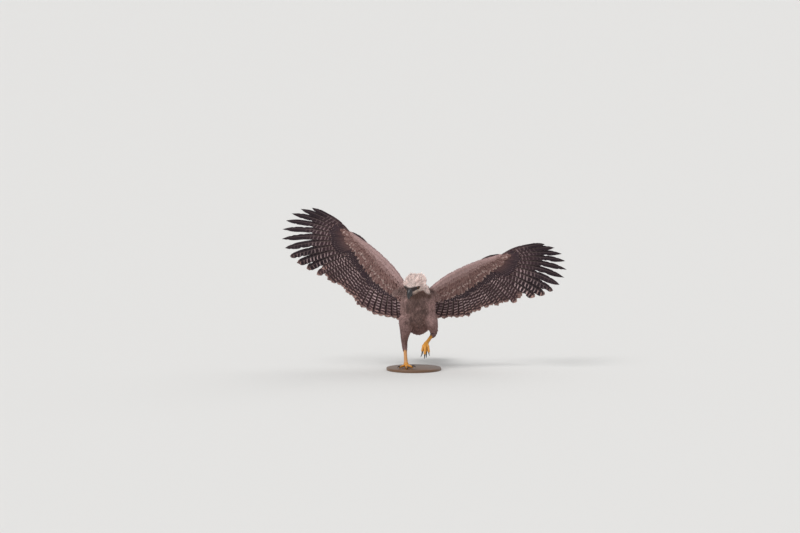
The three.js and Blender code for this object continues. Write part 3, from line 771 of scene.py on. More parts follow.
def tufts(name, roots, normals, ways, charts, length, width, lift, curl, kind, seed):
    """Body feathers: small leaf-shaped solids rooted in the skin that lie along it and overlap."""
    random = np.random.default_rng(seed)
    count = len(roots)
    def varied(values, low, high):
        return (values * random.uniform(low, high, count))[:, None, None]
    side = np.cross(ways, normals)
    spin = random.normal(0, 0.16, count)[:, None]
    ways = unit(ways * np.cos(spin) + side * np.sin(spin))
    # A few stand out from the rest and make the outline loose.
    lift = (lift * (0.75 + 0.35 * random.random(count) + 0.9 * random.random(count) ** 6))[:, None]
    ahead = ways * np.cos(lift) + normals * np.sin(lift)
    up = normals * np.cos(lift) - ways * np.sin(lift)
    side = np.cross(ahead, up)[:, None]
    ahead, up = ahead[:, None], up[:, None]
    length = varied(length, 0.8, 1.2)
    width = varied(width, 0.85, 1.15)
    share = TUFT_SHARES[None, :, None]
    wide = TUFT_WIDTHS[kind][None, :, None] * width
    curl = varied(curl, 0.5, 1.5)
    bend = random.normal(0, 0.1, count)[:, None, None]
    middle = roots[:, None] - 0.15 * length * ahead + length * share * ahead
    middle = middle - curl * length * share**2 * up + bend * length * share**2 * side
    thick = 0.03 * width * (1.2 - share)
    cup = wide * random.uniform(0.02, 0.14, count)[:, None, None]
    edge = side * wide / 2 - up * cup
    other = -side * wide / 2 - up * cup
    points = np.stack([middle + other, middle + up * thick, middle + edge, middle - up * thick], axis=2)
    across = np.array([-1, 0, 1, 0])
    values = {"along": share, "across": across, "seed": random.random((count, 1, 1))}
    places = patches(charts[:, None, None], across, share)
    return feather_mesh(name, tube_faces(len(TUFT_SHARES), len(across)), points, values, places)


TUFTS_A_PIECE = 4000


def coat(name, order, numbers, look, slot, kind, seed):
    """Body feathers as a few pieces, from arrays of a number or vector for each feather."""
    for number, part in enumerate(np.array_split(order, max(1, math.ceil(len(order) / TUFTS_A_PIECE)))):
        piece = tufts(f"{name}_{number + 1}", *(values[part] for values in numbers), kind, seed + number)
        finish_piece(piece, look, slot)


# Looks

class Number:
    """A number in a look, worked out by the material's own maths."""

    def __init__(self, look, socket):
        self.look, self.socket = look, socket

    def maths(self, operation, *others, turned=False):
        made = self.look.tree.nodes.new("ShaderNodeMath")
        made.operation = operation
        values = (*others, self) if turned else (self, *others)
        for socket, value in zip(made.inputs, values):
            self.look.put(socket, value)
        return Number(self.look, made.outputs[0])

    def __add__(self, other):
        return self.maths("ADD", other)

    __radd__ = __add__

    def __sub__(self, other):
        return self.maths("SUBTRACT", other)

    def __rsub__(self, other):
        return self.maths("SUBTRACT", other, turned=True)

    def __mul__(self, other):
        return self.maths("MULTIPLY", other)

    __rmul__ = __mul__

    def __truediv__(self, other):
        return self.maths("DIVIDE", other)

    def __abs__(self):
        return self.maths("ABSOLUTE")

    def __pow__(self, other):
        return self.maths("POWER", other)

    def fraction(self):
        return self.maths("FRACT")

    def wave(self):
        """Falls from 0.5 to 0 and rises again in each whole unit."""
        return abs(self.fraction() - 0.5)

    def least(self, other):
        return self.maths("MINIMUM", other)

    def most(self, other):
        return self.maths("MAXIMUM", other)

    def step(self, low, high):
        """0 up to low, 1 from high, and a smooth step between them; falls where low is above high."""
        inputs = {"Value": self, "From Min": low, "From Max": high}
        if low > high:
            inputs.update({"From Min": high, "From Max": low, "To Min": 1.0, "To Max": 0.0})
        made = self.look.node("ShaderNodeMapRange", {"interpolation_type": "SMOOTHSTEP"}, inputs)
        return Number(self.look, made.outputs["Result"])


class Look:
    """A material while it is being built."""

    def __init__(self, name, **constants):
        self.material = bpy.data.materials.new(name)
        self.material.use_nodes = True
        self.tree = self.material.node_tree
        self.surface = self.tree.nodes["Principled BSDF"]
        for key, value in constants.items():
            self.put(self.surface.inputs[key.replace("_", " ")], value)

    def put(self, socket, value):
        """Joins a value to a socket, or sets a constant on it."""
        if isinstance(value, Number):
            value = value.socket
        if isinstance(value, bpy.types.NodeSocket):
            self.tree.links.new(value, socket)
        elif socket.type == "RGBA" and len(value) == 3:
            socket.default_value = (*value, 1)
        else:
            socket.default_value = value

    def node(self, kind, settings=None, inputs=None):
        made = self.tree.nodes.new(kind)
        for key, value in (settings or {}).items():
            setattr(made, key, value)
        for key, value in (inputs or {}).items():
            self.put(made.inputs[key], value)
        return made

    def place(self):
        return self.node("ShaderNodeTexCoord").outputs["Object"]

    def values(self, *names):
        """Numbers that each point of the mesh carries."""
        made = (self.node("ShaderNodeAttribute", {"attribute_name": name}) for name in names)
        return [Number(self, node.outputs["Fac"]) for node in made]

    def stretched(self, place, scale):
        return self.node("ShaderNodeMapping", None, {"Vector": place, "Scale": scale}).outputs["Vector"]

    def vector_maths(self, operation, inputs):
        return self.node("ShaderNodeVectorMath", {"operation": operation}, inputs)

    def axis(self, place, centre, direction):
        """How far a place lies from a centre along a direction."""
        offset = self.vector_maths("SUBTRACT", {0: place, 1: tuple(centre)}).outputs["Vector"]
        made = self.vector_maths("DOT_PRODUCT", {0: offset, 1: tuple(direction)})
        return Number(self, made.outputs["Value"])

    def vector(self, x, y, z=0.0):
        return self.node("ShaderNodeCombineXYZ", None, {"X": x, "Y": y, "Z": z}).outputs["Vector"]

    def noise(self, place, scale, detail=2.0, rough=0.55):
        inputs = {"Vector": place, "Scale": scale, "Detail": detail, "Roughness": rough}
        return Number(self, self.node("ShaderNodeTexNoise", None, inputs).outputs["Fac"])

    def mix(self, first, second, share):
        inputs = {0: share, 6: first, 7: second}
        return self.node("ShaderNodeMix", {"data_type": "RGBA"}, inputs).outputs[2]

    def scaled(self, colour, amount):
        """A colour made lighter or darker."""
        return self.vector_maths("SCALE", {"Vector": colour, "Scale": amount}).outputs["Vector"]

    def done(self, colour, rough, height, distance, strength):
        """The material, with its colour, its roughness and the height and strength of its relief."""
        inputs = {"Height": height, "Distance": distance, "Strength": strength}
        relief = self.node("ShaderNodeBump", None, inputs).outputs["Normal"]
        for key, value in (("Base Color", colour), ("Roughness", rough), ("Normal", relief)):
            self.put(self.surface.inputs[key], value)
        return self.material


def plumage(name, colours, tufted):
    """The look of skin and body feathers alike: their colours come from where they are on the body."""
    look = Look(name, Metallic=0.0, Specular_IOR_Level=0.15)
    place = look.place()
    centre = HEAD_PLACE + BIRD
    forward, left, up = (look.axis(place, centre, axis) for axis in HEAD_AXES)
    sideways = look.axis(place, (BIRD[0], 0, 0), (1, 0, 0))
    height = look.axis(place, (0, 0, BIRD[2]), (0, 0, 1))
    depth = look.axis(place, (0, BIRD[1], 0), (0, 1, 0))
    broad = look.noise(place, 26, 3)
    fine = look.noise(place, 140, 2)
    upright = look.stretched(place, (1.0, 1.0, 0.3))
    streaks = look.noise(upright, 75, 3)
    flecks = look.noise(upright, 36, 2).step(0.5, 0.66)
    # Between the feathers the skin is in their shade.
    shade = (0.5 + 1.0 * broad) * (0.6 + 0.8 * streaks) * (1 if tufted else 0.6)
    if tufted:
        seed, share, across = look.values("seed", "along", "across")
        barbs = look.noise(look.vector(abs(across) * 5 - share * 4, across * 2, seed * 90), 1.6, 3)
        edge = abs(across).step(0.45, 0.95).most(share.step(0.75, 0.98))
        shaft = abs(across).step(0.22, 0.05)
        shade = shade * (0.75 + 0.5 * seed) * (0.7 + 0.6 * barbs)
        shade = shade * (0.84 + 0.34 * edge) * (1 - 0.22 * shaft)
    # The middle of the breast and belly takes the belly colour, darkened with painted shade of the
    # underparts. Its middle sits 12 mm towards the bird's right, which paints the shade under the head
    # onto that flank.
    aside = abs(sideways + 0.012) + 0.05 * broad
    body = look.mix(colours.belly, colours.flank, aside.step(0.075, 0.12))
    body = look.mix(body, colours.flank, 0.55 * flecks)
    body = look.mix(body, colours.back, (depth + 0.5 * height - 0.02 * broad).step(0.2, 0.27))
    # The upper breast and the back of the neck are greyer: partly the body's own tone, partly painted
    # shade under the bowed head.
    body = look.mix(body, colours.neck, (height + 0.03 * broad).step(0.43, 0.5))
    leg = (height - 0.35 * abs(sideways - 0.01)).step(0.27, 0.2)
    # The dark bars of the thighs take part of the belly colour, painted shade included.
    bars = (height * 95 + 1.4 * broad).fraction().step(0.3, 0.55)
    thigh = look.mix(colours.thigh, colours.belly, 0.45 * bars)
    body = look.mix(body, thigh, leg * depth.step(0.09, 0.07))
    away = (forward * forward + left * left + up * up) ** 0.5
    # The pale down of the head runs on down the nape and the sides of the neck.
    nape = forward.step(0.0, -0.055)
    side = left.step(0.03, 0.06)
    head = (away + 0.02 * broad - 0.028 * nape - 0.03 * side).step(0.112, 0.088)
    crown = up + 0.036 * forward.step(0.025, -0.05) + 0.03 * nape + 0.04 * side + 0.018 * broad
    crown = crown.step(-0.002, 0.024)
    # Below the cheeks the face takes the throat colour, which is painted shade under the bowed head.
    face = look.mix(colours.throat_in_shade, colours.cheek, (up + 0.01 * fine).step(-0.03, 0.004))
    face = look.mix(face, colours.crown, crown)
    colour = look.mix(body, face, head)
    # A dark line runs from the bill to the eye, with a pale streak under it.
    lore = up.step(0.0, 0.008) * up.step(0.032, 0.024) * forward.step(0.01, 0.026)
    lore = lore * abs(left).step(0.052, 0.044)
    colour = look.mix(colour, colours.lore, head * lore * 0.95)
    streak = up.step(-0.018, -0.008) * up.step(0.006, 0.0)
    streak = streak * forward.step(0.005, 0.02) * forward.step(0.058, 0.05)
    colour = look.mix(colour, colours.streak, head * streak * 0.4)
    relief = (barbs, 0.0008) if tufted else (fine, 0.002)
    return look.done(look.scaled(colour, shade), 0.86 + 0.1 * fine, *relief, 0.5)


def vaned(name, colours, tier):
    """The look of the large feathers: bars, shaft, buff tips and the fine lines of the barbs."""
    look = Look(name, Metallic=0.0, Specular_IOR_Level=0.2)
    share, across, tip = look.values("along", "across", "to_tip")
    upper, kind, order, seed = look.values("upper", "kind", "order", "seed")
    place = look.place()
    wide = abs(across)
    barbs = look.noise(look.vector(tip * 900 + wide * 9, across * 1.5, seed * 90), 1, 2)
    cloud = look.noise(look.vector(tip * 28, across * 0.7, seed * 70), 1, 3)
    broad = look.noise(place, 30, 3)
    under = upper.step(0.1, -0.1)
    inner = across.step(0.15, -0.2)
    shade = (0.82 + 0.36 * cloud) * (0.9 + 0.2 * barbs) * (0.9 + 0.2 * seed)
    if tier == "flight":
        primary = kind.step(0.6, 0.4)
        dark = look.mix(colours.vane, colours.vane_dark, primary * share.step(0.35, 0.75))
        wave = tip * blend(54, 44, primary) + 0.22 * wide + 1.3 * cloud + 0.7 * seed + 0.12 * barbs
        wave = wave.wave()
        barred = wave.step(0.3, 0.42)
        # The bars are strong on some feathers and nearly gone on others.
        first = primary * order.step(0.12, 0.4)
        strong = look.noise(place, 11, 2).step(0.36, 0.6)
        reach = blend(0.95, 0.3, first) * inner + 0.1
        barred = barred * reach * (1 - first * share.step(0.45, 0.75)) * (0.3 + 0.9 * cloud)
        barred = barred * (0.4 + 0.75 * strong) * (0.75 + 0.4 * seed)
        pale = look.mix(colours.bar, colours.tip, tip.step(0.07, 0.03))
        colour = look.mix(dark, pale, barred.least(1) * under)
        over = look.mix(colours.over, colours.vane_dark, 0.75 * wave.step(0.28, 0.38))
        colour = look.mix(over, colour, under)
        # The pale end runs up both edges, round a dark streak along the shaft.
        end = tip + 0.02 * cloud - 0.012 * wide
        fringe = end.step(0.03, 0.008) * (1 - primary * (0.1 + 0.9 * order.step(0.05, 0.3)))
        colour = look.mix(colour, colours.tip, fringe * 0.9)
    elif tier == "tail":
        wave = (tip * 17 + 0.3 * cloud).wave()
        colour = look.mix(colours.tail, colours.vane_dark, wave.step(0.3, 0.24) * (0.55 + 0.3 * under))
        colour = look.mix(colour, colours.tip, tip.step(0.016, 0.008))
    else:
        greater = order.step(0.12, 0.05)
        hand = kind.step(3.4, 3.6)
        dots = (tip * 50 + 0.8 * cloud + 0.6 * seed).wave().step(0.3, 0.44)
        dots = dots * tip.step(0.075, 0.02) * across.step(0.3, -0.2)
        dots = dots * (0.25 + 0.8 * cloud) * (1 - 0.75 * hand)
        root = look.mix(colours.covert, colours.median, hand * share.step(0.85, 0.3) * 0.6)
        large = look.mix(root, colours.bar, dots.least(1))
        band = (order + 0.12 * (broad - 0.5)).step(0.55, 0.8)
        spots = tip.step(0.014, 0.008) * seed.step(0.35, 0.5) * order.step(0.5, 0.4)
        middle = look.mix(colours.median, colours.spot, spots * 0.75 + 0.3 * cloud.step(0.5, 0.7))
        colour = look.mix(middle, large, greater)
        colour = look.mix(colour, colours.band, band)
        edge = wide.step(0.62, 0.95).most(tip.step(0.007, 0.002))
        over = look.mix(colours.over, colours.over_edge, edge * 0.7)
        over = look.mix(over, colours.band, order.step(0.9, 1.0))
        colour = look.mix(over, colour, under)
        colour = look.mix(colour, colours.tip, tip.step(0.007, 0.003) * 0.5)
    shaft = wide.step(0.09, 0.04)
    colour = look.mix(colour, colours.shaft, shaft * (0.35 + 0.45 * (1 - share)))
    return look.done(look.scaled(colour, shade), 0.62 + 0.16 * barbs, barbs, 0.0006, 0.35)


def horn(name, colour, pale):
    look = Look(name, Metallic=0.0, Coat_Weight=0.25, Coat_Roughness=0.2)
    grain = look.noise(look.place(), 90, 4)
    colour = look.mix(colour, pale, grain.step(0.45, 0.8) * 0.5)
    return look.done(colour, 0.3 + 0.16 * grain, grain, 0.0006, 0.3)


def scaly(name, colour, shadow):
    """The bare skin of the feet: small plates with dark joints."""
    look = Look(name, Metallic=0.0)
    place = look.place()
    inputs = {"Vector": place, "Scale": 480.0}
    cells = look.node("ShaderNodeTexVoronoi", {"feature": "DISTANCE_TO_EDGE"}, inputs)
    grain = Number(look, cells.outputs["Distance"]).step(0.0, 0.2)
    # Broad plates lie across the front of each toe and of the shank.
    length, front = look.values("length", "front")
    plates = (length * 230).wave().step(0.5, 0.4)
    plate = grain + (plates - grain) * front
    broad = look.noise(place, 45, 3)
    colour = look.scaled(look.mix(shadow, colour, 0.55 + 0.45 * plate), 0.8 + 0.4 * broad)
    return look.done(colour, 0.45 + 0.2 * broad, plate, 0.001, 0.6)


def eye_look(name, colours):
    """A dark pupil in a brown iris under a clear gloss, seen from where each eye looks."""
    look = Look(name, Metallic=0.0, Roughness=0.12, Specular_IOR_Level=0.3)
    place = look.place()
    ahead, other = (look.axis(place, *eye_place(sign)) / EYE_RADIUS for sign in (1, -1))
    facing = ahead.most(other)
    iris = facing.step(0.72, 0.76)
    pupil = facing.step(0.93, 0.945)
    streaks = look.noise(place, 900, 2)
    colour = look.mix(colours.eye_ring, look.scaled(colours.iris, 0.7 + 0.6 * streaks), iris)
    look.put(look.surface.inputs["Base Color"], look.mix(colour, (0.004, 0.004, 0.005), pupil))
    return look.material


def wood_look(name, colour):
    look = Look(name, Metallic=0.0, Coat_Weight=0.3, Coat_Roughness=0.25)
    grain = look.noise(look.stretched(look.place(), (9.0, 1.3, 9.0)), 9, 5, 0.6)
    lines = (grain * 9).wave()
    colour = look.scaled(colour, 0.55 + 0.5 * grain + 0.5 * lines)
    return look.done(colour, 0.36 + 0.18 * grain, lines, 0.0004, 0.2)


def plain_look(name, colour, rough):
    return Look(name, Base_Color=colour, Roughness=rough, Metallic=0.0).material


# Places of the small parts of the head

EYE, EYE_RADIUS = MM * np.array([28, 42, 16]), 12.5 * MM
# How much the eyes look ahead for each part sideways.
EYE_AHEAD = 0.7
LID_RADIUS, LID_THICKNESS, LID_PLACE = 11.6 * MM, 1.5 * MM, 6 * MM
# Round the eyes and the bill the skin is bare.
BARE_EYE, BARE_BILL = 13.5 * MM, 19.5 * MM


def eye_place(sign):
    """The middle of an eye and the way it looks."""
    facing = unit(sign * HEAD_LEFT + EYE_AHEAD * HEAD_FORWARD)
    return head_point(EYE * (1, sign, 1)), facing


BROW = MM * np.array([(4, 50, 30, 4, 4), (18, 50, 31, 8, 7), (34, 42, 26, 8, 6.5), (49, 27, 14, 4, 4)])
UPPER_BILL = MM * np.array([
    [48, 0, 2, 19, 19],
    [62, 0, 3, 18.5, 19.5],
    [74, 0, 1, 15.5, 17],
    [85, 0, -5, 11.5, 13.5],
    [92, 0, -14, 8, 10],
    [94.5, 0, -24, 4.4, 6],
    [93.5, 0, -32, 1.2, 1.6],
])
CERE = MM * np.array([
    [45, 0, 1.5, 18, 18.5],
    [50, 0, 2, 20.3, 20.6],
    [57, 0, 2.6, 20, 20.6],
    [61, 0, 3, 19, 20],
    [63, 0, 3, 16, 17],
])
BILL_END = 0.6 * MM
NOSTRIL, NOSTRIL_RADIUS = MM * np.array([63, 17.5, 10]), 3.4 * MM
LOWER_BILL = MM * np.array([
    [44, 0, -15, 15, 8],
    [60, 0, -17, 13.5, 8.5],
    [72, 0, -19, 10, 7],
    [80, 0, -21, 5, 4],
])


def brow(sign):
    return Limb(BROW * (1, sign, 1, 1, 1), HEAD_LEFT, (1, 1), head_point)


# Legs

LEGS = {
    "right": {"ankle": (-76, 38, 142), "foot": (-68, -12, 24), "sign": -1, "hangs": False},
    "left": {"ankle": (105, 40, 211), "foot": (57, -66, 156), "sign": 1, "hangs": True},
}
# The shank: half thickness at shares of the way from ankle to foot.
SHANK = [(0, 15), (0.12, 12.5), (0.5, 10.5), (0.85, 11.5), (1, 14)]
PALM_RADIUS = 15.5 * MM
# Toes: heading in degrees from ahead to the inner side, length, half thickness and talon length.
TOES = {
    "middle": (4, 84, 9.5, 42),
    "inner": (38, 60, 9.5, 50),
    "outer": (-34, 68, 8.5, 36),
    "hind": (178, 50, 10, 60),
}
TOE_STEPS, TALON_STEPS = 6, 7


def toe_rows(leg, heading, length, thick):
    """Rows along one toe, flat or hanging, the way its end points and its thickness there."""
    hangs, sign = leg["hangs"], leg["sign"]
    thick = 1.12 * thick if hangs else thick
    hind = abs(heading) > 90
    spread = 0.8 if hangs else 1
    turned = 180 + (heading - 180) * spread if hind else heading * spread
    turn = math.radians(sign * turned + (sign * 6 if hangs else 0))
    flat = np.array([-math.sin(turn), -math.cos(turn), 0])
    root = np.array(leg["foot"], float)
    spot, way, rows = root.copy(), flat, []
    for i in range(TOE_STEPS + 1):
        share = i / TOE_STEPS
        half = thick * (1 - 0.28 * share) * (1 + 0.12 * math.cos(share * 4 * math.pi))
        rows.append([*spot, half, half])
        if hangs:
            pitch = math.radians(50 + 40 * share if hind else 12 + 80 * share)
            way = flat * math.cos(pitch) - np.array([0, 0, math.sin(pitch)])
            spot = spot + way * length / TOE_STEPS
        else:
            spot = spot + flat * length / TOE_STEPS
            arch = 9 + 5 * math.sin(math.pi * min(1, share + 1 / TOE_STEPS)) * (1 - share)
            spot[2] = blend(root[2], arch, min(1, (i + 1) / 2))
    return rows, way, thick * 0.72


def talon_rows(rows, way, half, talon, hangs):
    """Rows along a claw that curves down from the end of its toe to a point."""
    bend, first = (60, 0) if hangs else (78, 34)
    spot = np.array(rows[-1][:3]) - 5 * way
    axis = unit(np.cross(way, (0, 0, 1)))
    made = []
    for i in range(TALON_STEPS + 1):
        share = i / TALON_STEPS
        size = max(0.5, half * 0.82 * math.sqrt(1 - share))
        made.append([*spot, size * 0.85, size])
        turn = math.radians(first - bend * share)
        turn = -turn - math.radians(bend * share * 2) if hangs else turn
        ahead = way * math.cos(turn) + np.cross(axis, way) * math.sin(turn)
        spot = spot + ahead * talon / TALON_STEPS
    return made


def row_limb(rows, side=None):
    rows = MM * np.array(rows)
    ahead = unit(rows[-1, :3] - rows[0, :3])
    side = np.cross(ahead, (0, 0, 1)) if side is None else side
    return Limb(rows, side)


def ball(name, centre, radius, axes=None, stretch=(1, 1, 1), segments=48, rings=24):
    """A ball stretched along its own axes."""
    turn = Matrix(axes).transposed().to_euler() if axes is not None else (0, 0, 0)
    bpy.ops.object.select_all(action="DESELECT")
    bpy.ops.mesh.primitive_uv_sphere_add(
        segments=segments, ring_count=rings, radius=radius,
        location=centre, rotation=turn, scale=stretch,
    )
    bpy.ops.object.transform_apply(location=True, rotation=True, scale=True)
    return named(name)


def axes_along(facing):
    """Three axes with the last one along a direction."""
    third = unit(np.asarray(facing, float))
    first = across_of(np.array([0.0, 0, 1]), third)
    return [first, np.cross(third, first), third]


# Skin and the places of its feathers

def bare_skin(fineness):
    """The body inside its coat, as one closed surface."""
    counts = {"torso": 18, "neck": 10, "head": 16, "tail": 8}
    pieces = [ringed(key, limb.rings(counts.get(key, 14)), 40) for key, limb in LIMBS.items()]
    pieces += [ringed("arm", wing.rings(4 * MM), 24) for wing in WINGS.values()]
    pieces += [ringed("brow", brow(sign).rings(6, 1.5 * MM), 16) for sign in (1, -1)]
    made = joined(pieces, "skin")
    modify(made, "REMESH", mode="VOXEL", voxel_size=fineness)
    modify(made, "SMOOTH", factor=0.5, iterations=12)
    return made


def nearness(far, sharpness):
    """How near each part is, as 1 for the nearest and less for the others."""
    return np.exp(-sharpness * (far - far.min(axis=0)))


def measured(points):
    """How far out of each part points lie, their place on its chart and the lie of its feathers."""
    shares, places, lies = [], [], []
    for limb in LIMBS.values():
        far, share, angle, lie = limb.measure(points)
        shares.append(far)
        places.append((share, angle))
        lies.append(lie)
    for wing in WINGS.values():
        out, back, up = wing.local(points)
        front, rear, thick = wing.edges(out)
        far = np.hypot((back - (front + rear) / 2) / ((rear - front) / 2), up / (thick / 2))
        beyond = np.maximum(WING_CORE[0, 0] - out, out - WING_CORE[-1, 0]).clip(0) / PAST_FLESH
        shares.append(np.hypot(far, beyond))
        places.append((out, back, up))
        way = wing.point(30 * MM, 90 * MM, 0.0) - wing.point(0.0, 0.0, 0.0)
        lies.append(np.broadcast_to(unit(way), points.shape))
    return np.array(shares), places, np.array(lies)


def unwrap(skin):
    """Lays the skin out on the map for baking, each limb on a chart of its own."""
    mesh = skin.data
    points = read(mesh.vertices, "co", 3)
    loops = read(mesh.loops, "vertex_index", 1, np.int32)
    totals = read(mesh.polygons, "loop_total", 1, np.int32)
    starts = np.concatenate([[0], np.cumsum(totals)[:-1]])
    middles = np.add.reduceat(points[loops], starts) / totals[:, None]
    far, middle_places, _ = measured(middles)
    _, places, _ = measured(points)
    owner = np.repeat(np.argmin(far, axis=0), totals)
    face = np.repeat(np.arange(len(totals)), totals)
    chart = np.zeros((len(loops), 2))
    for number, name in enumerate(PARTS):
        mine = owner == number
        at, of = loops[mine], face[mine]
        if name in LIMBS:
            share, angle = (value[at] for value in places[number])
            near = middle_places[number][1][of]
            chart[mine] = on_chart(name, share, near + (angle - near + 0.5) % 1 - 0.5)
        else:
            out, back, _ = (value[at] for value in places[number])
            up = middle_places[number][2][of]
            chart[mine] = wing_chart(WINGS[name.removeprefix("arm_")], out, back, up)
    lay_out(mesh, chart)


def roots_on(skin, spacing_at, seed, tries=5):
    """Evenly scattered roots on the skin: points, normals, lie of the feathers and chart places."""
    random = np.random.default_rng(seed)
    mesh = skin.data
    mesh.calc_loop_triangles()
    points, normals = (read(mesh.vertices, key, 3) for key in ("co", "normal"))
    corners, loops = (read(mesh.loop_triangles, key, 3, np.int32) for key in ("vertices", "loops"))
    chart = read(mesh.uv_layers["OFBake"].data, "uv", 2)
    a, b, c = (points[corners[:, i]] for i in range(3))
    area = np.linalg.norm(np.cross(b - a, c - a), axis=1) / 2
    spacing = spacing_at((a + b + c) / 3)
    weight = np.where(spacing > 0, area / np.maximum(spacing, 1e-4) ** 2, 0)
    count = int(weight.sum() * tries)
    chosen = random.choice(len(area), count, p=weight / weight.sum())
    u, v = random.random(count), random.random(count)
    over = u + v > 1
    u[over], v[over] = 1 - u[over], 1 - v[over]
    shares = np.stack([1 - u - v, u, v])[..., None]
    def at(values, index):
        return sum(shares[i] * values[index[chosen, i]] for i in range(3))
    places, ups = at(points, corners), unit(at(normals, corners))
    # The chart has seams, so each place takes its triangle's own corners of it.
    maps = at(chart, loops)
    gap = spacing_at(places)
    tree = kdtree.KDTree(count)
    for i, place in enumerate(places):
        tree.insert(place, i)
    tree.balance()
    kept = gap > 0
    for i in range(count):
        if kept[i]:
            for _, j, _ in tree.find_range(places[i], gap[i]):
                if j != i:
                    kept[j] = False
    places, ups, maps = places[kept], ups[kept], maps[kept]
    far, _, lies = measured(places)
    way = np.sum(nearness(far, 12)[..., None] * lies, axis=0)
    return places, ups, across_of(way, ups), maps


# The add-on: what can be set, the pieces, the panel

def colour_property(name, description, default):
    return FloatVectorProperty(
        name=name, description=description, default=default, subtype="COLOR", size=3, min=0, max=1
    )


def size_property(name, description, default, low, high):
    return FloatProperty(
        name=name, description=description, default=default, min=low, max=high,
        unit="LENGTH", subtype="DISTANCE",
    )


class EagleSizes(bpy.types.PropertyGroup):
    skin_fineness: size_property("Skin fineness", "Size of the skin's faces", 0.0035, 0.002, 0.02)
    body_spacing: size_property("Body spacing", "Distance between body feathers", 0.0043, 0.003, 0.05)
    head_spacing: size_property("Head spacing", "Distance between head feathers", 0.0027, 0.002, 0.05)
    base_radius: size_property("Base radius", "Radius of the round base", 0.17, 0.1, 0.3)
    base_height: size_property("Base height", "Height of the round base", 0.016, 0.005, 0.05)
    vane_stations: IntProperty(
        name="Vane stations", description="Rings of points along a flight feather",
        default=36, min=6, max=80,
    )


class EagleColours(bpy.types.PropertyGroup):
    crown: colour_property("Crown", "Down of the crown and crest", (0.95, 0.76, 0.7))
    cheek: colour_property("Cheek", "Side of the face", (0.68, 0.5, 0.44))
    # The throat colour is painted shade on the pale down of the chin and throat.
    throat_in_shade: colour_property("Throat", "Throat and chin", (0.2, 0.12, 0.1))
    lore: colour_property("Lore", "Dark line from bill to eye", (0.03, 0.021, 0.022))
    streak: colour_property("Streak", "Pale streak below the eye", (0.62, 0.5, 0.36))
    # The neck colour is partly painted shade under the bowed head.
    neck: colour_property("Neck", "Neck and upper breast", (0.27, 0.18, 0.165))
    # The belly colour is darkened with painted shade of the underparts.
    belly: colour_property("Belly", "Middle of the breast and belly", (0.235, 0.15, 0.135))
    flank: colour_property("Flank", "Sides of the body", (0.49, 0.31, 0.29))
    back: colour_property("Back", "Back and rump", (0.15, 0.11, 0.105))
    thigh: colour_property("Thigh", "Leg feathers", (0.385, 0.235, 0.222))
    vane: colour_property("Vane", "Underside of the secondaries", (0.058, 0.03, 0.035))
    vane_dark: colour_property("Dark vane", "Ends of the primaries and dark bars", (0.024, 0.014, 0.019))
    bar: colour_property("Bar", "Pale bars under the wing", (0.6, 0.44, 0.44))
    tip: colour_property("Tip", "Buff tips", (0.53, 0.33, 0.29))
    over: colour_property("Upper side", "Upper side of the wing", (0.11, 0.082, 0.078))
    over_edge: colour_property("Upper edge", "Pale edges of the upper coverts", (0.36, 0.27, 0.24))
    covert: colour_property("Covert", "Greater coverts", (0.045, 0.026, 0.033))
    median: colour_property("Median", "Median coverts", (0.215, 0.116, 0.105))
    spot: colour_property("Spot", "Pale spots among the median coverts", (0.5, 0.37, 0.34))
    band: colour_property("Band", "Leading band of the wing", (0.45, 0.3, 0.29))
    shaft: colour_property("Shaft", "Feather shafts", (0.2, 0.15, 0.13))
    tail: colour_property("Tail", "Ground of the tail", (0.36, 0.3, 0.28))
    bill: colour_property("Bill", "Bill and claws", (0.018, 0.017, 0.019))
    cere: colour_property("Cere", "Soft skin at the base of the bill", (0.05, 0.045, 0.045))
    bill_pale: colour_property("Bill wear", "Worn patches of the horn", (0.07, 0.065, 0.065))
    foot: colour_property("Foot", "Toes", (0.7, 0.31, 0.045))
    shank: colour_property("Shank", "Bare lower leg", (0.62, 0.3, 0.105))
    foot_shadow: colour_property("Foot joints", "Joints between the plates", (0.2, 0.08, 0.02))
    iris: colour_property("Iris", "Iris of the eye", (0.11, 0.05, 0.025))
    eye_ring: colour_property("Eye ring", "Rim round the iris", (0.02, 0.014, 0.012))
    lid: colour_property("Eyelid", "Bare rim of the eye", (0.05, 0.04, 0.04))
    wood: colour_property("Wood", "Base", (0.17, 0.088, 0.045))
    floor: colour_property("Floor", "Plain studio floor", (0.7, 0.69, 0.67))


class Colours:
    """The colours that are set, as plain tuples."""

    def __init__(self, context):
        for key in EagleColours.__annotations__:
            setattr(self, key, tuple(getattr(context.scene.eagle_colours, key)))


class EAGLE_OT_skin(bpy.types.Operator):
    """Makes the skin of the body, inside its feathers"""

    bl_idname = "eagle.skin"
    bl_label = "Skin"
    bl_options = {"REGISTER", "UNDO"}

    def execute(self, context):
        skin = bare_skin(context.scene.eagle_sizes.skin_fineness)
        unwrap(skin)
        look = plumage("skin", Colours(context), False)
        finish_piece(skin, look, "body_feathers", ["head", "neck", "torso", "thigh_left", "thigh_right"])
        return {"FINISHED"}


def hidden_by_wings(points):
    """Where the skin is covered by the coverts of a wing."""
    hidden = np.zeros(len(points), bool)
    for wing in WINGS.values():
        out, back, up = wing.local(points)
        front, rear, thick = wing.edges(out)
        inside = (back > front - 10 * MM) & (back < rear + 10 * MM) & (np.abs(up) < thick / 2 + 6 * MM)
        hidden |= inside & (out > 12 * MM)
    return hidden


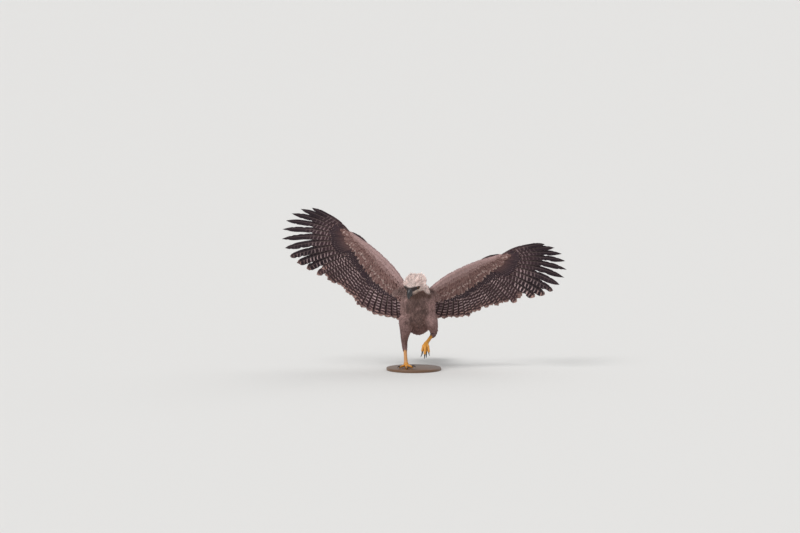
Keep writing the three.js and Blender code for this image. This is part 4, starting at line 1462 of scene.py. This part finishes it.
class EAGLE_OT_body(bpy.types.Operator):
    """Makes the feathers of breast, back, neck and thighs"""

    bl_idname = "eagle.body"
    bl_label = "Body Feathers"
    bl_options = {"REGISTER", "UNDO"}

    def execute(self, context):
        gap = context.scene.eagle_sizes.body_spacing
        def spacing(points):
            nearest = np.argmin(measured(points)[0], axis=0)
            on_leg = np.isin(nearest, THIGHS)
            bare = (nearest == HEAD) | hidden_by_wings(points)
            return np.where(bare, -1, np.where(on_leg, 0.9 * gap, gap))
        rooted = roots_on(needed("skin"), spacing, seed=3)
        far, _, _ = measured(rooted[0])
        height = rooted[0][:, 2]
        # The legs end in short narrow feathers.
        near = nearness(far, 8)
        near /= near.sum(axis=0)
        legs = near[THIGHS[0]] + near[THIGHS[1]]
        low = smooth(height, 0.3, 0.18) * legs
        neck = near[PARTS.index("neck")]
        length = blend(31, 23, legs) * blend(1, 0.55, low) * blend(1, 0.9, neck) * MM
        width = blend(8.5, 6.5, legs) * blend(1, 0.7, low) * blend(1, 0.8, neck) * MM
        lift = np.radians(blend(14, 12, legs) + 6 * neck)
        curl = blend(0.12, 0.1, legs)
        look = plumage("body_feathers", Colours(context), True)
        numbers = (*rooted, length, width, lift, curl)
        order = np.argsort(height)
        coat("body_feathers", order, numbers, look, "body_feathers", kind="feather", seed=20)
        return {"FINISHED"}


# The lobes of down: turn and width in degrees round the head, and how much longer and steeper they are.
LOBE_TURN, LOBE_WIDTH = 48, 22
LOBE_LENGTH, LOBE_LIFT = 13 * MM, math.radians(20)


class EAGLE_OT_head(bpy.types.Operator):
    """Makes the down of the head and the two lobes of the crest"""

    bl_idname = "eagle.head"
    bl_label = "Head Down"
    bl_options = {"REGISTER", "UNDO"}

    def execute(self, context):
        gap = context.scene.eagle_sizes.head_spacing
        def spacing(points):
            nearest = np.argmin(measured(points)[0], axis=0)
            closer = blend(1, 0.72, smooth(in_head(points)[:, 0], 0.02, 0.045))
            return np.where(nearest == HEAD, gap * closer, -1)
        rooted = roots_on(needed("skin"), spacing, seed=5)
        roots = rooted[0]
        forward, left, up = in_head(roots).T
        bare = (forward > 45 * MM) & (np.hypot(left, up - 2 * MM) < BARE_BILL)
        for sign in (1, -1):
            centre, facing = eye_place(sign)
            bare |= np.linalg.norm(roots - centre - 4 * MM * facing, axis=1) < BARE_EYE
        roots, normals, ways, maps, forward, left, up = (x[~bare] for x in (*rooted, forward, left, up))
        # Round the bill they fan out from it.
        outward = unit(np.stack([0 * left, left, up], axis=1)) @ HEAD_AXES
        ways = across_of(ways + 1.6 * outward * smooth(forward, 0.035, 0.06)[:, None], normals)
        face = smooth(forward, 0.0, 0.05)
        crown = smooth(up, 0.0, 0.04)
        # Above each eye the down is longest, in two soft lobes.
        turn = np.degrees(np.arctan2(np.abs(left), up))
        lobe = np.exp(-(((turn - LOBE_TURN) / LOBE_WIDTH) ** 2))
        lobe = lobe * smooth(forward, -0.08, -0.04) * (1 - smooth(forward, 0.015, 0.04))
        length = blend(blend(21, 25, crown), 6.5, face) * MM + LOBE_LENGTH * lobe
        width = blend(4.6, 2.2, face) * MM
        lift = np.radians(blend(blend(18, 25, crown), 15, face)) + LOBE_LIFT * lobe
        curl = blend(0.36, 0.12, face)
        look = plumage("head_down", Colours(context), True)
        numbers = (roots, normals, ways, maps, length, width, lift, curl)
        order = np.arange(len(roots))
        coat("head_down", order, numbers, look, "white_down", kind="fluff", seed=40)
        finish_piece(crest_feathers(), look, "white_down")
        return {"FINISHED"}


# Rows of the crest from front to back: place forward, length and width.
CREST_ROWS = [
    (30, 22, 5), (22, 26, 5.5), (14, 31, 6), (6, 36, 6.5), (-2, 41, 7), (-10, 45, 7.5),
    (-18, 47, 8), (-26, 46, 8), (-34, 42, 8), (-43, 37, 8), (-52, 32, 8),
]
CREST_SHARES = np.linspace(0, 1, 30)


def crest_feathers():
    """Two lobes of broad feathers that root on the back of the crown."""
    random = np.random.default_rng(8)
    roots, ways, normals, lengths, widths = [], [], [], [], []
    for sign in (-1, 1):
        for forward, length, width in CREST_ROWS:
            wide, deep = (np.interp(forward * MM, SKULL[:, 0], SKULL[:, i]) - 9 * MM for i in (3, 4))
            for share in CREST_SHARES:
                turn = math.radians(sign * (blend(3, 92, share) + random.uniform(-2, 2)))
                outward = HEAD_LEFT * math.sin(turn) + HEAD_UP * math.cos(turn)
                aside = HEAD_LEFT * math.cos(turn) - HEAD_UP * math.sin(turn)
                rise = math.radians(20 * math.sin(math.pi * 0.8 * share) + random.uniform(-3, 4))
                splay = math.radians(sign * blend(5, -5, share) + random.uniform(-6, 6))
                way = -HEAD_FORWARD * math.cos(rise) * math.cos(splay)
                way = way + outward * math.sin(rise) + aside * math.cos(rise) * math.sin(splay)
                ahead = (forward + random.uniform(-3, 3)) * MM
                roots.append(head_point((ahead, wide * math.sin(turn), deep * math.cos(turn))))
                ways.append(way)
                normals.append(outward)
                lobe = math.sin(math.pi * min(1, 0.08 + 0.95 * share))
                lengths.append(length * (0.68 + 0.37 * lobe) * MM / 1.1)
                widths.append(0.82 * width * MM)
    roots, normals, lengths, widths = (np.array(rows) for rows in (roots, normals, lengths, widths))
    ways = across_of(unit(np.array(ways)), normals)
    count = len(roots)
    maps = on_chart("head", np.full(count, 0.4), np.linspace(0.1, 0.4, count))
    lift, curl = np.full(count, math.radians(12)), np.full(count, 0.4)
    numbers = (roots, normals, ways, maps, lengths, widths, lift, curl)
    return tufts("crest", *numbers, kind="fluff", seed=9)


class EAGLE_OT_flight(bpy.types.Operator):
    """Makes the primaries, secondaries and tertials of both wings"""

    bl_idname = "eagle.flight"
    bl_label = "Flight Feathers"
    bl_options = {"REGISTER", "UNDO"}

    def execute(self, context):
        look = vaned("flight_feathers", Colours(context), "flight")
        for side, wing in WINGS.items():
            stations = context.scene.eagle_sizes.vane_stations
            seed = 1 if side == "left" else 2
            vanes = Vanes(stations, columns=9, seed=seed, ragged=11 * MM, crowding=0.9)
            for feather in flight_feathers(wing):
                if feather["kind"] != PRIMARY:
                    feather["length"] *= vanes.random.uniform(0.93, 1.03)
                vanes.add(**feather)
            piece = wing_vanes("flight_" + side, wing, vanes, LONG)
            finish_piece(piece, look, "flight_feathers", [f"wing_{side}_arm", f"wing_{side}_hand"])
        return {"FINISHED"}


class EAGLE_OT_coverts(bpy.types.Operator):
    """Makes the coverts of both wings, above and below, and the alulae"""

    bl_idname = "eagle.coverts"
    bl_label = "Coverts"
    bl_options = {"REGISTER", "UNDO"}

    def execute(self, context):
        colours = Colours(context)
        look = vaned("coverts", colours, "covert")
        for side, wing in WINGS.items():
            flights = list(flight_feathers(wing))
            for face, word in ((-1, "under"), (1, "upper")):
                for tier, feathers in covert_rows(wing, flights, face):
                    stations, columns, ragged, profile = COVERT_SHAPES[tier]
                    vanes = Vanes(stations, columns, seed=30 + face, ragged=ragged)
                    for feather in feathers:
                        vanes.add(**feather)
                    piece = wing_vanes(f"{tier}_{word}_{side}", wing, vanes, profile, True)
                    finish_piece(piece, look, "flight_feathers")
            vanes = Vanes(stations=20, columns=7, seed=50)
            for i in range(THUMB_FEATHERS):
                vanes.add(
                    out=(358 + 3 * i) * MM, back=-8 * MM, angle=17 + 4 * i, length=(138 - 20 * i) * MM,
                    width=9 * MM, finger=7 * MM, order=0.5, bend=14, lift=(7 - 2 * i) * MM,
                    lift_end=(6 - 2 * i) * MM, point=0.6,
                )
            piece = wing_vanes("thumb_" + side, wing, vanes, SHORT)
            thumb_look = vaned("thumb_" + side, colours, "flight")
            finish_piece(piece, thumb_look, "flight_feathers", ["alula_" + side])
        return {"FINISHED"}


class EAGLE_OT_tail(bpy.types.Operator):
    """Makes the tail feathers and their coverts"""

    bl_idname = "eagle.tail"
    bl_label = "Tail"
    bl_options = {"REGISTER", "UNDO"}

    def execute(self, context):
        look = vaned("tail", Colours(context), "tail")
        stations = context.scene.eagle_sizes.vane_stations
        vanes = Vanes(stations, columns=11, seed=5, ragged=7 * MM)
        for place in np.arange(TAIL_FEATHERS) - (TAIL_FEATHERS - 1) / 2:
            vanes.add(place=place, length=(345 - 2.2 * place**2) * MM, width=25 * MM, kind=TAIL)
        finish_piece(tail_vanes("tail_feathers", vanes, LONG), look, "flight_feathers", ["tail"])
        vanes = Vanes(stations=10, columns=5, seed=6)
        for upper, lift in ((1, 5), (-1, -8)):
            for row, (length, count) in enumerate(TAIL_COVERTS):
                for place in np.linspace(-5, 5, count):
                    vanes.add(
                        place=place * 0.9, length=(length - 3 * abs(place)) * MM, width=12 * MM,
                        lift=(lift + upper * 1.5 * row) * MM, lift_end=-upper * 1.5 * MM,
                        kind=TAIL, upper=upper,
                    )
        finish_piece(tail_vanes("tail_coverts", vanes, SHORT, True), look, "flight_feathers")
        return {"FINISHED"}


class EAGLE_OT_bill(bpy.types.Operator):
    """Makes both halves of the bill, with nostrils"""

    bl_idname = "eagle.bill"
    bl_label = "Bill"
    bl_options = {"REGISTER", "UNDO"}

    def execute(self, context):
        colours = Colours(context)
        look = horn("bill", colours.bill, colours.bill_pale)
        upper, cere, lower = (
            Limb(rows, HEAD_LEFT, place=head_point) for rows in (UPPER_BILL, CERE, LOWER_BILL)
        )
        piece = ringed("upper_bill", upper.rings(30, BILL_END), 40)
        for sign in (1, -1):
            centre = head_point(NOSTRIL * (1, sign, 1))
            hole = ball("nostril", centre, NOSTRIL_RADIUS, axes_along(HEAD_UP), (1, 1, 1.9), 24, 12)
            modify(piece, "BOOLEAN", operation="DIFFERENCE", object=hole)
            alone(hole)
            bpy.ops.object.delete()
        finish_piece(piece, look, "dark_horn", ["bill_upper"], smooth_to=40)
        piece = ringed("cere", cere.rings(14, BILL_END), 40)
        finish_piece(piece, horn("cere", colours.cere, colours.bill_pale), "dark_horn", smooth_to=50)
        piece = ringed("lower_bill", lower.rings(16, BILL_END), 32)
        finish_piece(piece, look, "dark_horn", ["bill_lower"], smooth_to=40)
        return {"FINISHED"}


class EAGLE_OT_eyes(bpy.types.Operator):
    """Makes the eyes and their lids"""

    bl_idname = "eagle.eyes"
    bl_label = "Eyes"
    bl_options = {"REGISTER", "UNDO"}

    def execute(self, context):
        colours = Colours(context)
        look = eye_look("eye", colours)
        lid_look = plain_look("eyelid", colours.lid, 0.6)
        for sign, side in ((1, "left"), (-1, "right")):
            centre, facing = eye_place(sign)
            axes = axes_along(facing)
            piece = ball("eyeball_" + side, centre, EYE_RADIUS, axes)
            finish_piece(piece, look, "eye", ["eye_" + side])
            bpy.ops.object.select_all(action="DESELECT")
            bpy.ops.mesh.primitive_torus_add(
                location=centre + LID_PLACE * facing, rotation=Matrix(axes).transposed().to_euler(),
                major_radius=LID_RADIUS, minor_radius=LID_THICKNESS,
                major_segments=48, minor_segments=12,
            )
            bpy.ops.object.transform_apply(location=True, rotation=True, scale=True)
            finish_piece(named("eyelid_" + side), lid_look, "dark_horn")
        return {"FINISHED"}


def plated(piece, limbs, facing):
    """Gives each point its distance along the nearest limb, and whether it is where the plates are."""
    points = read(piece.data.vertices, "co", 3)
    nearest = np.full(len(points), np.inf)
    length, front = np.zeros(len(points)), np.zeros(len(points))
    for limb in limbs:
        far, share, angle, _ = limb.measure(points)
        closer = far < nearest
        nearest = np.where(closer, far, nearest)
        whole = np.linalg.norm(np.diff(limb.centre, axis=0), axis=1).sum()
        length = np.where(closer, share * whole, length)
        front = np.where(closer, smooth(np.abs(angle - facing), 0.2, 0.13), front)
    carry(piece.data, {"length": length, "front": front})


class EAGLE_OT_feet(bpy.types.Operator):
    """Makes the shanks and the scaly feet"""

    bl_idname = "eagle.feet"
    bl_label = "Feet"
    bl_options = {"REGISTER", "UNDO"}

    def execute(self, context):
        colours = Colours(context)
        shank_look = scaly("shank", colours.shank, colours.foot_shadow)
        foot_look = scaly("foot", colours.foot, colours.foot_shadow)
        for side, leg in LEGS.items():
            ankle, foot = np.array(leg["ankle"], float), np.array(leg["foot"], float)
            rows = [[*blend(ankle, foot, share), half, half] for share, half in SHANK]
            shank = row_limb(rows, (1, 0, 0))
            piece = ringed("bare_shank_" + side, shank.rings(40), 40)
            plated(piece, [shank], 0.75)
            look = foot_look if leg["hangs"] else shank_look
            finish_piece(piece, look, "yellow_skin", ["shank_" + side])
            palm = MM * foot + BIRD
            parts = [ball("palm", palm, PALM_RADIUS, stretch=(1, 1, 0.85), segments=24, rings=12)]
            toes = [row_limb(toe_rows(leg, *toe[:3])[0]) for toe in TOES.values()]
            parts += [ringed("toe", toe.rings(24), 20) for toe in toes]
            for toe in toes:
                parts.append(ball("toe_end", toe.centre[-1], 0.98 * toe.wide[-1], segments=20, rings=12))
            piece = joined(parts, "scaled_foot_" + side)
            modify(piece, "REMESH", mode="VOXEL", voxel_size=1.2 * MM)
            modify(piece, "SMOOTH", factor=0.5, iterations=5)
            plated(piece, toes, 0.25)
            finish_piece(piece, foot_look, "yellow_skin", ["foot_" + side])
        return {"FINISHED"}


class EAGLE_OT_talons(bpy.types.Operator):
    """Makes the eight claws"""

    bl_idname = "eagle.talons"
    bl_label = "Talons"
    bl_options = {"REGISTER", "UNDO"}

    def execute(self, context):
        colours = Colours(context)
        look = horn("talon", colours.bill, colours.bill_pale)
        for side, leg in LEGS.items():
            for name, (heading, length, thick, talon) in TOES.items():
                rows, way, half = toe_rows(leg, heading, length, thick)
                rows = talon_rows(rows, way, half, talon, leg["hangs"])
                claw = row_limb(rows, np.cross(way, (0, 0, 1)))
                piece = ringed(f"claw_{side}_{name}", claw.rings(20, 0.4 * MM), 20)
                finish_piece(piece, look, "dark_horn", [f"talon_{side}_{name}"])
        return {"FINISHED"}


class EAGLE_OT_base(bpy.types.Operator):
    """Makes the plain round wooden base"""

    bl_idname = "eagle.base"
    bl_label = "Base"
    bl_options = {"REGISTER", "UNDO"}

    def execute(self, context):
        sizes = context.scene.eagle_sizes
        bpy.ops.object.select_all(action="DESELECT")
        middle = (0, 0, sizes.base_height / 2)
        bpy.ops.mesh.primitive_cylinder_add(
            vertices=128, radius=sizes.base_radius, depth=sizes.base_height, location=middle
        )
        bpy.ops.object.transform_apply(location=True, rotation=True, scale=True)
        piece = named("base")
        corner = math.radians(50)
        modify(piece, "BEVEL", width=3 * MM, segments=4, limit_method="ANGLE", angle_limit=corner)
        look = wood_look("base", Colours(context).wood)
        finish_piece(piece, look, "base_wood", ["stand_base"], smooth_to=35)
        return {"FINISHED"}


FLOOR_RADIUS = 400
STUDIO_COLOUR, STUDIO_STRENGTH = (0.86, 0.87, 0.89, 1), 0.55
# Each lamp's place, spread in degrees and strength.
LAMPS = {
    "key": ((-2.4, -3.4, 5.2), 30, 2.0),
    "fill": ((3.0, 2.6, 3.4), 60, 0.7),
}
CAMERA_TARGET = Vector((-0.0854, 0.005, 0.646))
CAMERA_RISE, CAMERA_AWAY, CAMERA_LENS = math.radians(6), 40.0, 290


def look_towards(piece, way):
    """Turns a lamp or the camera to look along a direction."""
    piece.rotation_euler = way.to_track_quat("-Z", "Y").to_euler()


class EAGLE_OT_stage(bpy.types.Operator):
    """Sets up the floor, the soft light and the camera"""

    bl_idname = "eagle.stage"
    bl_label = "Stage"
    bl_options = {"REGISTER", "UNDO"}

    def execute(self, context):
        bpy.ops.object.select_all(action="DESELECT")
        bpy.ops.mesh.primitive_circle_add(vertices=96, radius=FLOOR_RADIUS, fill_type="NGON")
        floor = named("floor")
        floor.data.materials.append(plain_look("floor", Colours(context).floor, 0.9))
        scene = context.scene
        scene.world = bpy.data.worlds.new("studio")
        scene.world.use_nodes = True
        back = scene.world.node_tree.nodes["Background"]
        back.inputs["Color"].default_value = STUDIO_COLOUR
        back.inputs["Strength"].default_value = STUDIO_STRENGTH
        for name, (place, spread, power) in LAMPS.items():
            bpy.ops.object.light_add(type="SUN", location=place)
            lamp = named(name)
            lamp.data.angle = math.radians(spread)
            lamp.data.energy = power
            look_towards(lamp, -Vector(place))
        way = Vector((0, -math.cos(CAMERA_RISE), math.sin(CAMERA_RISE)))
        place = CAMERA_TARGET + CAMERA_AWAY * way
        bpy.ops.object.camera_add(location=place)
        camera = bpy.context.object
        look_towards(camera, CAMERA_TARGET - place)
        camera.data.sensor_width = 36
        camera.data.lens = CAMERA_LENS
        camera.data.clip_end = 1000
        bpy.context.scene.camera = camera
        scene.view_settings.view_transform = "Standard"
        return {"FINISHED"}


def needed(name):
    """A piece that another is made from."""
    piece = bpy.data.objects.get(name)
    if piece is None:
        raise RuntimeError(f"the piece {name} is made first")
    return piece


MAKERS = [
    EAGLE_OT_skin,
    EAGLE_OT_body,
    EAGLE_OT_head,
    EAGLE_OT_flight,
    EAGLE_OT_coverts,
    EAGLE_OT_tail,
    EAGLE_OT_bill,
    EAGLE_OT_eyes,
    EAGLE_OT_feet,
    EAGLE_OT_talons,
    EAGLE_OT_base,
    EAGLE_OT_stage,
]


class EAGLE_PT_panel(bpy.types.Panel):
    """Lists the pieces of the eagle"""

    bl_label = "Harpy Eagle"
    bl_idname = "EAGLE_PT_panel"
    bl_space_type = "VIEW_3D"
    bl_region_type = "UI"
    bl_category = "Eagle"

    def draw(self, context):
        for maker in MAKERS:
            self.layout.operator(maker.bl_idname)


CLASSES = [EagleSizes, EagleColours, *MAKERS, EAGLE_PT_panel]


def register():
    for made in CLASSES:
        bpy.utils.register_class(made)
    bpy.types.Scene.eagle_sizes = PointerProperty(type=EagleSizes)
    bpy.types.Scene.eagle_colours = PointerProperty(type=EagleColours)


def unregister():
    del bpy.types.Scene.eagle_colours
    del bpy.types.Scene.eagle_sizes
    for made in reversed(CLASSES):
        bpy.utils.unregister_class(made)


def main():
    register()
    bpy.ops.eagle.skin()
    bpy.ops.eagle.body()
    bpy.ops.eagle.head()
    bpy.ops.eagle.flight()
    bpy.ops.eagle.coverts()
    bpy.ops.eagle.tail()
    bpy.ops.eagle.bill()
    bpy.ops.eagle.eyes()
    bpy.ops.eagle.feet()
    bpy.ops.eagle.talons()
    bpy.ops.eagle.base()
    bpy.ops.eagle.stage()


if __name__ == "__main__":
    main()
